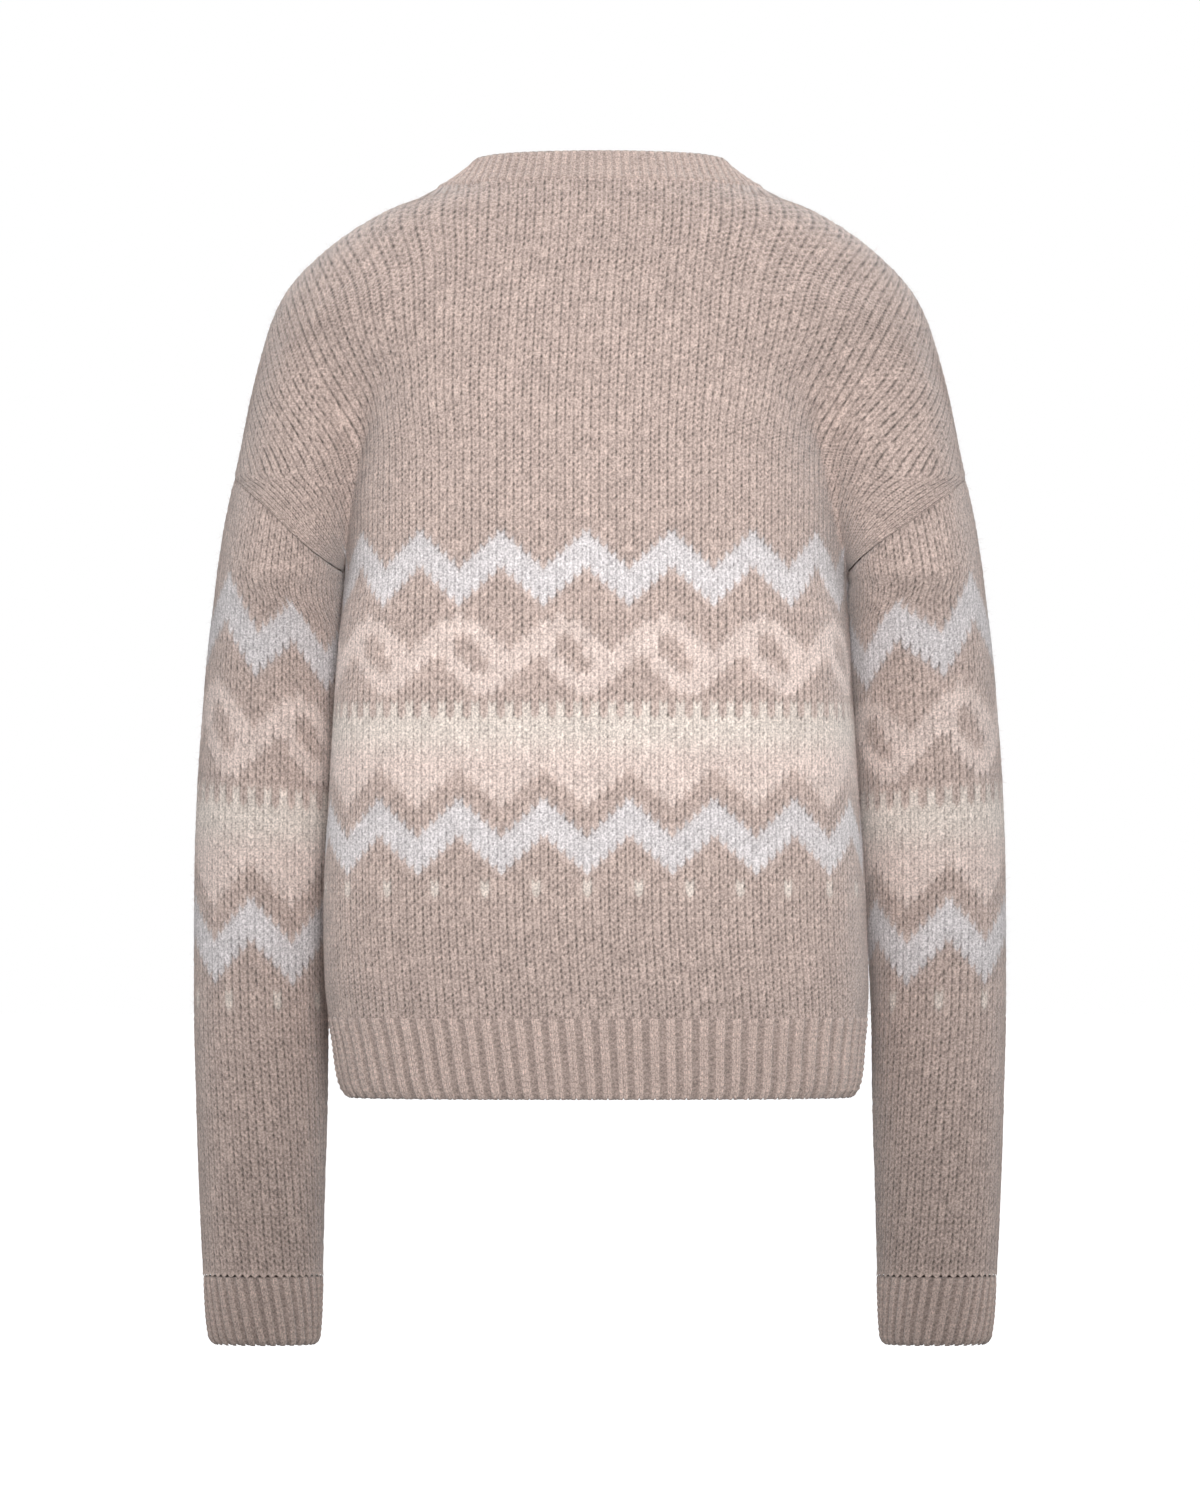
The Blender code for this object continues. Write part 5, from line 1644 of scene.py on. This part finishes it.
    def button_band(self, name: str, path: np.ndarray, left: float, right: float, over: bool) -> RibStrip:
        """A band along the path, stepping up to the upper layer where it lies over.

        Args:
            name: The piece's name.
            path: The bands' y and z, from the bottom up.
            left: The x of its one edge.
            right: The x of its other edge.
            over: Whether it is the band on top.

        Returns:
            The strip.
        """
        step = np.gradient(path, axis=0)
        normal = unit(np.stack([step[:, 1], -step[:, 0]], axis=1))
        normal *= np.sign(normal[len(normal) // 2, 0])
        across = np.linspace(left, right, 41)
        risen = np.clip((right - across) / self.band_ramp, 0.0, 1.0)
        lift = self.band_step * risen if over else 0.0 * across
        rows = []
        for (y, z), (ny, nz) in zip(path, normal):
            rows.append(np.column_stack([across, y + ny * lift, z + nz * lift]))
        courses = int(round(running_length(path)[-1] / self.band_course))
        ribs = 3 if over else 2
        return RibStrip(name, StripSurface(np.array(rows), out=-1), RibStitch(), ribs, courses)


def fill(node: Any, values: dict[str, Any]) -> Any:
    """Sets a node's inputs by their names, and gives the node back."""
    for name, value in values.items():
        node.inputs[name].default_value = value
    return node


def new_finish(name: str, values: dict[str, Any]) -> tuple:
    """A new material with its shader's inputs set: the material, nodes, links and shader."""
    made = bpy.data.materials.new(name)
    made.use_nodes = True
    nodes = made.node_tree.nodes
    return made, nodes, made.node_tree.links, fill(nodes["Principled BSDF"], values)


def plain_material(name: str, colour: tuple, rough: float) -> bpy.types.Material:
    """A plain finish."""
    return new_finish(name, {"Base Color": (*colour, 1.0), "Roughness": rough})[0]


@dataclass(frozen=True)
class WoolFinish:
    """Brushed, heathered wool: colour from the stitches, with painted shade in the hollows and painted light
    on the legs, and a soft sheen.
    """

    name: str
    # How bright the painted shading runs; above 1 for brighter copies of the same wool.
    tone: float = 1.0
    heather: float = 0.26
    hollow_shade: float = 0.10
    leg_shade: float = 1.06
    fuzz_scale: float = 2600.0
    heather_scale: float = 900.0
    cloud_scale: float = 55.0
    twist: float = 3.0
    twist_height: float = 0.35

    def material(self) -> bpy.types.Material:
        """The finish as a material."""
        soft_wool = {
            "Roughness": 0.92,
            "Specular IOR Level": 0.18,
            "Sheen Weight": 0.35,
            "Sheen Roughness": 0.45,
        }
        made, nodes, links, shader = new_finish(self.name, soft_wool)
        place = nodes.new("ShaderNodeTexCoord")
        yarn = self._attribute(nodes, "yarn")
        soft = self._attribute(nodes, "soft_yarn")
        level = self._attribute(nodes, "level")
        fuzz = self._noise(nodes, links, place, self.fuzz_scale, 3.0)
        fleck = self._noise(nodes, links, place, self.heather_scale, 4.0)
        cloud = self._noise(nodes, links, place, self.cloud_scale, 4.0)
        blur = self._ramp(nodes, links, fuzz, (0.40, 0.10), (0.60, 0.85))
        colour = self._mix(nodes, links, "MIX", blur, yarn.outputs["Color"], soft.outputs["Color"])
        dark, pale = 1.0 - 1.6 * self.heather, 1.0 + self.heather
        heather = self._ramp(nodes, links, fleck, (0.32, dark), (0.66, pale))
        colour = self._mix(nodes, links, "MULTIPLY", None, colour, heather)
        drift = self._ramp(nodes, links, cloud, (0.3, 0.95), (0.7, 1.05))
        colour = self._mix(nodes, links, "MULTIPLY", None, colour, drift)
        # Painted shade and light: the level darkens the colour in the hollows and lightens it on the legs,
        # all scaled by the tone.
        shades = {"To Min": self.hollow_shade * self.tone, "To Max": self.leg_shade * self.tone}
        shade = fill(nodes.new("ShaderNodeMapRange"), shades)
        links.new(level.outputs["Fac"], shade.inputs["Value"])
        colour = self._mix(nodes, links, "MULTIPLY", None, colour, shade.outputs["Result"])
        links.new(colour, shader.inputs["Base Color"])
        bump = fill(nodes.new("ShaderNodeBump"), {"Strength": 0.55, "Distance": 0.0005})
        links.new(self._yarn_height(nodes, links, fuzz), bump.inputs["Height"])
        links.new(bump.outputs["Normal"], shader.inputs["Normal"])
        return made

    def _yarn_height(self, nodes: Any, links: Any, fuzz: Any) -> Any:
        """The height of the yarn's twist and of its loose fibres."""
        uv = nodes.new("ShaderNodeUVMap")
        uv.uv_map = "stitches"
        wave = nodes.new("ShaderNodeTexWave")
        wave.wave_type = "BANDS"
        wave.bands_direction = "DIAGONAL"
        fill(wave, {"Scale": self.twist, "Distortion": 1.5})
        links.new(uv.outputs["UV"], wave.inputs["Vector"])
        total = nodes.new("ShaderNodeMath")
        total.operation = "MULTIPLY_ADD"
        total.inputs[1].default_value = self.twist_height
        links.new(wave.outputs["Fac"], total.inputs[0])
        links.new(fuzz, total.inputs[2])
        return total.outputs["Value"]

    @staticmethod
    def _attribute(nodes: Any, name: str) -> Any:
        """A node that reads one of the piece's own attributes."""
        node = nodes.new("ShaderNodeAttribute")
        node.attribute_name = name
        return node

    @staticmethod
    def _noise(nodes: Any, links: Any, place: Any, scale: float, detail: float) -> Any:
        """Noise on the piece's own coordinates."""
        node = fill(nodes.new("ShaderNodeTexNoise"), {"Scale": scale, "Detail": detail})
        links.new(place.outputs["Object"], node.inputs["Vector"])
        return node.outputs["Fac"]

    @staticmethod
    def _ramp(nodes: Any, links: Any, value: Any, low: tuple, high: tuple) -> Any:
        """A value mapped from one pair of bounds to another."""
        bounds = {"From Min": low[0], "To Min": low[1], "From Max": high[0], "To Max": high[1]}
        node = fill(nodes.new("ShaderNodeMapRange"), bounds)
        links.new(value, node.inputs["Value"])
        return node.outputs["Result"]

    @staticmethod
    def _mix(nodes: Any, links: Any, kind: str, factor: Any, first: Any, second: Any) -> Any:
        """Two colours mixed or multiplied."""
        node = nodes.new("ShaderNodeMix")
        node.data_type = "RGBA"
        node.blend_type = kind
        node.inputs["Factor"].default_value = 1.0
        if factor is not None:
            links.new(factor, node.inputs["Factor"])
        links.new(first, node.inputs["A"])
        links.new(second, node.inputs["B"])
        return node.outputs["Result"]


@dataclass(frozen=True)
class ButtonFinish:
    """Polished horn: warm brown with pale streaks."""

    name: str = "button_horn"
    dark: tuple = (0.10, 0.062, 0.045, 1.0)
    pale: tuple = (0.42, 0.30, 0.215, 1.0)

    def material(self) -> bpy.types.Material:
        """The finish as a material."""
        polished = {"Roughness": 0.32, "Coat Weight": 0.25}
        made, nodes, links, shader = new_finish(self.name, polished)
        place = nodes.new("ShaderNodeTexCoord")
        along = {"Rotation": (0.3, 0.5, 0.7), "Scale": (1.0, 1.0, 3.2)}
        turn = fill(nodes.new("ShaderNodeMapping"), along)
        links.new(place.outputs["Object"], turn.inputs["Vector"])
        streaks = {"Scale": 70.0, "Detail": 6.0, "Distortion": 1.4}
        grain = fill(nodes.new("ShaderNodeTexNoise"), streaks)
        links.new(turn.outputs["Vector"], grain.inputs["Vector"])
        tone = nodes.new("ShaderNodeValToRGB")
        for element, position, colour in zip(tone.color_ramp.elements, (0.32, 0.70), (self.dark, self.pale)):
            element.position = position
            element.color = colour
        links.new(grain.outputs["Fac"], tone.inputs["Fac"])
        links.new(tone.outputs["Color"], shader.inputs["Base Color"])
        return made


@dataclass
class Buttons:
    """Six round four-hole buttons, sewn on through the bands."""

    count: int = 6
    radius: float = 0.0090
    thick: float = 0.0034
    hole: float = 0.0010
    hole_reach: float = 0.0021
    x: float = -0.0028
    top_z: float = -0.0850
    bottom_z: float = -0.5200
    # the over band's step, the rise of its ribs and the thread's slack
    lift: float = 0.0033 + 0.0011 + 0.0006
    rim_width: float = 0.0019
    dish_width: float = 0.0009
    dish_depth: float = 0.0007
    edge_round: float = 0.0006
    thread_radius: float = 0.00034
    thread_over: float = 0.0006
    thread_sink: float = 0.0005
    thread_round: float = 0.00016
    strand: float = 0.28

    def build(self, path: np.ndarray, horn: bpy.types.Material, thread: bpy.types.Material) -> list:
        """Models one button and sets a copy on the band at each place.

        Args:
            path: The bands' y and z, from the bottom up.
            horn: The disc's finish.
            thread: The sewing thread's finish.

        Returns:
            For each piece, its button's number, its kind and its object.
        """
        disc = self._disc(horn)
        stitches = self._thread(thread)
        step = np.gradient(path, axis=0)
        made = []
        for number, z in enumerate(np.linspace(self.top_z, self.bottom_z, self.count), start=1):
            y = float(np.interp(z, path[:, 1], path[:, 0]))
            ny = float(np.interp(z, path[:, 1], step[:, 1]))
            nz = -float(np.interp(z, path[:, 1], step[:, 0]))
            size = math.hypot(ny, nz)
            ny, nz = ny / size, nz / size
            for pattern, name in ((disc, "button_disc"), (stitches, "button_thread")):
                piece = pattern.copy()
                piece.data = pattern.data.copy()
                piece.name = f"{name}_{number}"
                bpy.context.scene.collection.objects.link(piece)
                lean = math.atan2(nz, ny) - math.pi / 2
                away = self.lift + self.thick / 2
                place = (self.x, y + ny * away, z + nz * away)
                self._set(piece, place, lean)
                made.append((number, name, piece))
        for pattern in (disc, stitches):
            bpy.data.objects.remove(pattern)
        return made

    def _disc(self, horn: bpy.types.Material) -> bpy.types.Object:
        """A disc with a rounded rim, a dished middle and four holes."""
        bpy.ops.object.select_all(action="DESELECT")
        bpy.ops.mesh.primitive_cylinder_add(vertices=48, radius=self.radius, depth=self.thick)
        disc = bpy.context.active_object
        bpy.ops.object.mode_set(mode="EDIT")
        bpy.ops.mesh.select_all(action="DESELECT")
        bpy.ops.object.mode_set(mode="OBJECT")
        for face in disc.data.polygons:
            face.select = face.normal.z > 0.9
        bpy.ops.object.mode_set(mode="EDIT")
        bpy.ops.mesh.inset(thickness=self.rim_width, depth=0.0)
        bpy.ops.mesh.inset(thickness=self.dish_width, depth=-self.dish_depth)
        bpy.ops.object.mode_set(mode="OBJECT")
        rim = disc.modifiers.new("rim", "BEVEL")
        rim.width = self.edge_round
        rim.segments = 3
        rim.limit_method = "ANGLE"
        bpy.ops.object.modifier_apply(modifier=rim.name)
        for k in range(4):
            angle = math.pi / 4 + k * math.pi / 2
            place = (self.hole_reach * math.cos(angle), self.hole_reach * math.sin(angle), 0.0)
            bpy.ops.mesh.primitive_cylinder_add(
                vertices=20, radius=self.hole, depth=3 * self.thick, location=place
            )
            cutter = bpy.context.active_object
            cut = disc.modifiers.new("hole", "BOOLEAN")
            cut.operation = "DIFFERENCE"
            cut.object = cutter
            bpy.context.view_layer.objects.active = disc
            bpy.ops.object.modifier_apply(modifier=cut.name)
            bpy.data.objects.remove(cutter)
        disc.data.materials.clear()
        disc.data.materials.append(horn)
        bpy.ops.object.select_all(action="DESELECT")
        disc.select_set(True)
        bpy.context.view_layer.objects.active = disc
        bpy.ops.object.shade_smooth_by_angle(angle=math.radians(35))
        return disc

    def _thread(self, thread: bpy.types.Material) -> bpy.types.Object:
        """Two pairs of thread bars between the holes."""
        bars = []
        for side in (-1.0, 1.0):
            for strand in (-self.strand, self.strand):
                bpy.ops.object.select_all(action="DESELECT")
                reach = self.hole_reach * math.sqrt(0.5)
                bpy.ops.mesh.primitive_cylinder_add(
                    vertices=10,
                    radius=self.thread_radius,
                    depth=2 * reach + self.thread_over,
                    location=(side * reach + strand * self.hole, 0.0, self.thick / 2 - self.thread_sink),
                    rotation=(math.pi / 2, 0.0, 0.0),
                )
                bar = bpy.context.active_object
                soft = bar.modifiers.new("soft", "BEVEL")
                soft.width = self.thread_round
                soft.segments = 2
                bpy.ops.object.modifier_apply(modifier=soft.name)
                bars.append(bar)
        for bar in bars:
            bar.select_set(True)
        bpy.context.view_layer.objects.active = bars[0]
        bpy.ops.object.join()
        joined = bpy.context.active_object
        bpy.ops.object.transform_apply(location=True, rotation=True, scale=True)
        joined.data.materials.clear()
        joined.data.materials.append(thread)
        bpy.ops.object.shade_smooth()
        return joined

    @staticmethod
    def _set(piece: bpy.types.Object, place: tuple, lean: float) -> None:
        """Turns a piece to face along the band's normal and moves it there, in its mesh."""
        count = len(piece.data.vertices)
        points = np.empty(count * 3, np.float32)
        piece.data.vertices.foreach_get("co", points)
        p = points.reshape(-1, 3).astype(float)
        cosine, sine = math.cos(lean), math.sin(lean)
        y = p[:, 1] * cosine - p[:, 2] * sine
        z = p[:, 1] * sine + p[:, 2] * cosine
        moved = np.column_stack([p[:, 0] + place[0], y + place[1], z + place[2]])
        piece.data.vertices.foreach_set("co", moved.astype(np.float32).ravel())
        piece.data.update()


WHITE = (1.0, 1.0, 1.0, 1.0)
LIGHT_COLUMNS = ("name", "place", "size", "power", "spread_degrees")
LIGHT_ROWS = (
    ("key", (0.08, -2.3, 0.10), 0.5, 2.10, 30.0),
    ("key_top", (-0.10, -1.3, 0.9), 0.8, 1.6, 180.0),
    ("rear", (-0.08, 2.3, 0.10), 0.5, 2.10, 30.0),
    ("rear_top", (0.10, 1.3, 0.9), 0.8, 1.6, 180.0),
    ("crown", (0.0, 0.0, 0.8), 0.6, 4.8, 180.0),
    ("side", (-1.7, 0.0, -0.30), 1.0, 10.0, 180.0),
    ("side", (1.7, 0.0, -0.30), 1.0, 10.0, 180.0),
)


@dataclass
class Studio:
    """A pale floor, soft lights and the camera behind the garment, level with its middle."""

    distance: float = 9.00
    frame_height: float = 0.900
    centre_z: float = -0.336
    floor_z: float = -0.760
    floor_size: float = 30.0
    ambient: float = 0.26
    aim_z: float = -0.27
    floor_glow: float = 0.95
    sensor: float = 36.0

    def build(self) -> None:
        """Sets up the floor, the lights, the background and the camera."""
        self._floor()
        for row in LIGHT_ROWS:
            self._light(**dict(zip(LIGHT_COLUMNS, row)))
        self._background()
        self._camera()
        bpy.context.scene.view_settings.view_transform = "Standard"

    def _floor(self) -> None:
        """A pale floor that glows, so that it is as white as the background."""
        bpy.ops.object.select_all(action="DESELECT")
        bpy.ops.mesh.primitive_plane_add(size=self.floor_size, location=(0.0, 0.0, self.floor_z))
        floor = bpy.context.active_object
        floor.name = "floor"
        pale = plain_material("floor_pale", (0.90, 0.90, 0.90), 0.9)
        glow = {"Emission Color": WHITE, "Emission Strength": self.floor_glow}
        fill(pale.node_tree.nodes["Principled BSDF"], glow)
        floor.data.materials.append(pale)
        floor.visible_diffuse = False

    def _background(self) -> None:
        """White to the camera, and dimmer as a light."""
        world = bpy.data.worlds.new("studio")
        world.use_nodes = True
        nodes, links = world.node_tree.nodes, world.node_tree.links
        sky = fill(nodes["Background"], {"Color": WHITE})
        seen = nodes.new("ShaderNodeLightPath")
        bright = fill(nodes.new("ShaderNodeMapRange"), {"To Min": self.ambient, "To Max": 1.0})
        links.new(seen.outputs["Is Camera Ray"], bright.inputs["Value"])
        links.new(bright.outputs["Result"], sky.inputs["Strength"])
        bpy.context.scene.world = world

    def _camera(self) -> None:
        """A long lens, level with the garment's middle."""
        view = bpy.data.cameras.new("camera")
        view.lens = self.sensor * self.distance / self.frame_height
        view.sensor_width = self.sensor
        camera = bpy.data.objects.new("camera", view)
        camera.location = (0.0, -self.distance, self.centre_z)
        camera.rotation_euler = (math.pi / 2, 0.0, 0.0)
        bpy.context.scene.collection.objects.link(camera)
        bpy.context.scene.camera = camera

    def _light(self, name: str, place: tuple, size: float, power: float, spread_degrees: float) -> None:
        """A square soft light, turned towards the garment."""
        light = bpy.data.lights.new(name, "AREA")
        light.shape = "SQUARE"
        light.size = size
        light.energy = power
        light.spread = math.radians(spread_degrees)
        thing = bpy.data.objects.new(name, light)
        thing.location = place
        aim = np.array([0.0, 0.0, self.aim_z]) - np.array(place)
        flat = math.hypot(aim[0], aim[1])
        around = math.atan2(aim[1], aim[0]) - math.pi / 2
        thing.rotation_euler = (math.atan2(flat, -aim[2]), 0.0, around)
        bpy.context.scene.collection.objects.link(thing)


def fibre_finish(yarn: Yarn) -> bpy.types.Material:
    """The finish of a yarn's loose fibres, a little paler than the yarn, as light comes through them."""
    colour = tuple(0.08 + 0.92 * part for part in yarn.value)
    return plain_material(f"fibre_{yarn.name.lower()}", colour, 0.95)


def dress(thing: bpy.types.Object, slot: str, *nodes: str) -> bpy.types.Object:
    """Lets a finished piece ride on the garment and stand for its solids.

    Args:
        thing: The piece.
        slot: The name of its finish; not used.
        nodes: The solids it stands for, if any.

    Returns:
        The same piece.
    """
    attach(thing, "root")
    if nodes:
        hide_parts(*nodes)
    LOG.info("%s: %d faces", thing.name, len(thing.data.polygons))
    return thing


def main() -> None:
    """Builds the garment piece by piece, then the studio round it."""
    logging.basicConfig(level=logging.INFO, format="%(name)s: %(message)s")
    form = WornForm()
    chart = YokeChart()
    knit = WoolFinish("knit_wool").material()
    # Brighter copies of the same wool for the neckband and ribs: painted light, each with its own depth of
    # painted hollow shade.
    neck = WoolFinish("neck_wool", tone=1.15, hollow_shade=0.50).material()
    rib = WoolFinish("rib_wool", tone=1.29, hollow_shade=0.34).material()
    back_face = PanelSurface(form, -1)
    front_face = PanelSurface(form, 1)

    hairs = [fibre_finish(yarn) for yarn in Yarn]
    back = BodyPanel(form, "back_knit", -1, WaleFan(back_face), chart)
    cloth = back.cloth(0)
    thing = dress(cloth.build(knit), "taupe_knit", "back")
    dress(LooseFibres("back_fibres", cloth, count=17500, seed=41).build(hairs), "taupe_knit")
    for side, word in SIDES.items():
        front = BodyPanel(form, f"front_{word}_knit", 1, WaleFan(front_face), chart)
        cloth = front.cloth(side)
        cloth.flip = side > 0
        thing = dress(cloth.build(knit), "taupe_knit", f"front_{word}")
        fibres = LooseFibres(f"front_{word}_fibres", cloth, count=9000, seed=42)
        dress(fibres.build(hairs), "taupe_knit")
        sleeve = Sleeve(form, f"sleeve_{word}_knit", chart)
        cloth = sleeve.cloth(side)
        cloth.flip = side < 0
        thing = dress(cloth.build(knit), "taupe_knit", f"sleeve_{word}")
        fibres = LooseFibres(f"sleeve_{word}_fibres", cloth, count=10000, seed=43)
        dress(fibres.build(hairs), "taupe_knit")

    ribbing = Ribbing(form)
    line = ribbing.neckline(back_face, front_face)
    rise = ribbing.neck_rise(line)
    path = ribbing.band_path(front_face, line[-1], rise[-1])
    half = form.band_width / 2 - ribbing.gap / 2
    strips = [
        (ribbing.hem_back(), "hem_back"),
        (ribbing.hem_front(1), "hem_front_right"),
        (ribbing.hem_front(-1), "hem_front_left"),
        (ribbing.cuff(1), "cuff_right"),
        (ribbing.cuff(-1), "cuff_left"),
        (ribbing.neckband(line, rise), "neckband"),
        (ribbing.button_band("band_left_rib", path, -half, ribbing.under_reach, False), "band_left"),
        (ribbing.button_band("band_right_rib", path, -half, half, True), "band_right"),
    ]
    for strip, node in strips:
        dress(strip.cloth().build(neck if node == "neckband" else rib), "taupe_rib", node)

    thread = plain_material("button_thread", (0.42, 0.33, 0.29), 0.8)
    for number, name, piece in Buttons().build(path, ButtonFinish().material(), thread):
        nodes = (f"button_{number}",) if name == "button_disc" else ()
        dress(piece, "button_horn", *nodes)

    Studio().build()


if __name__ == "__main__":
    main()
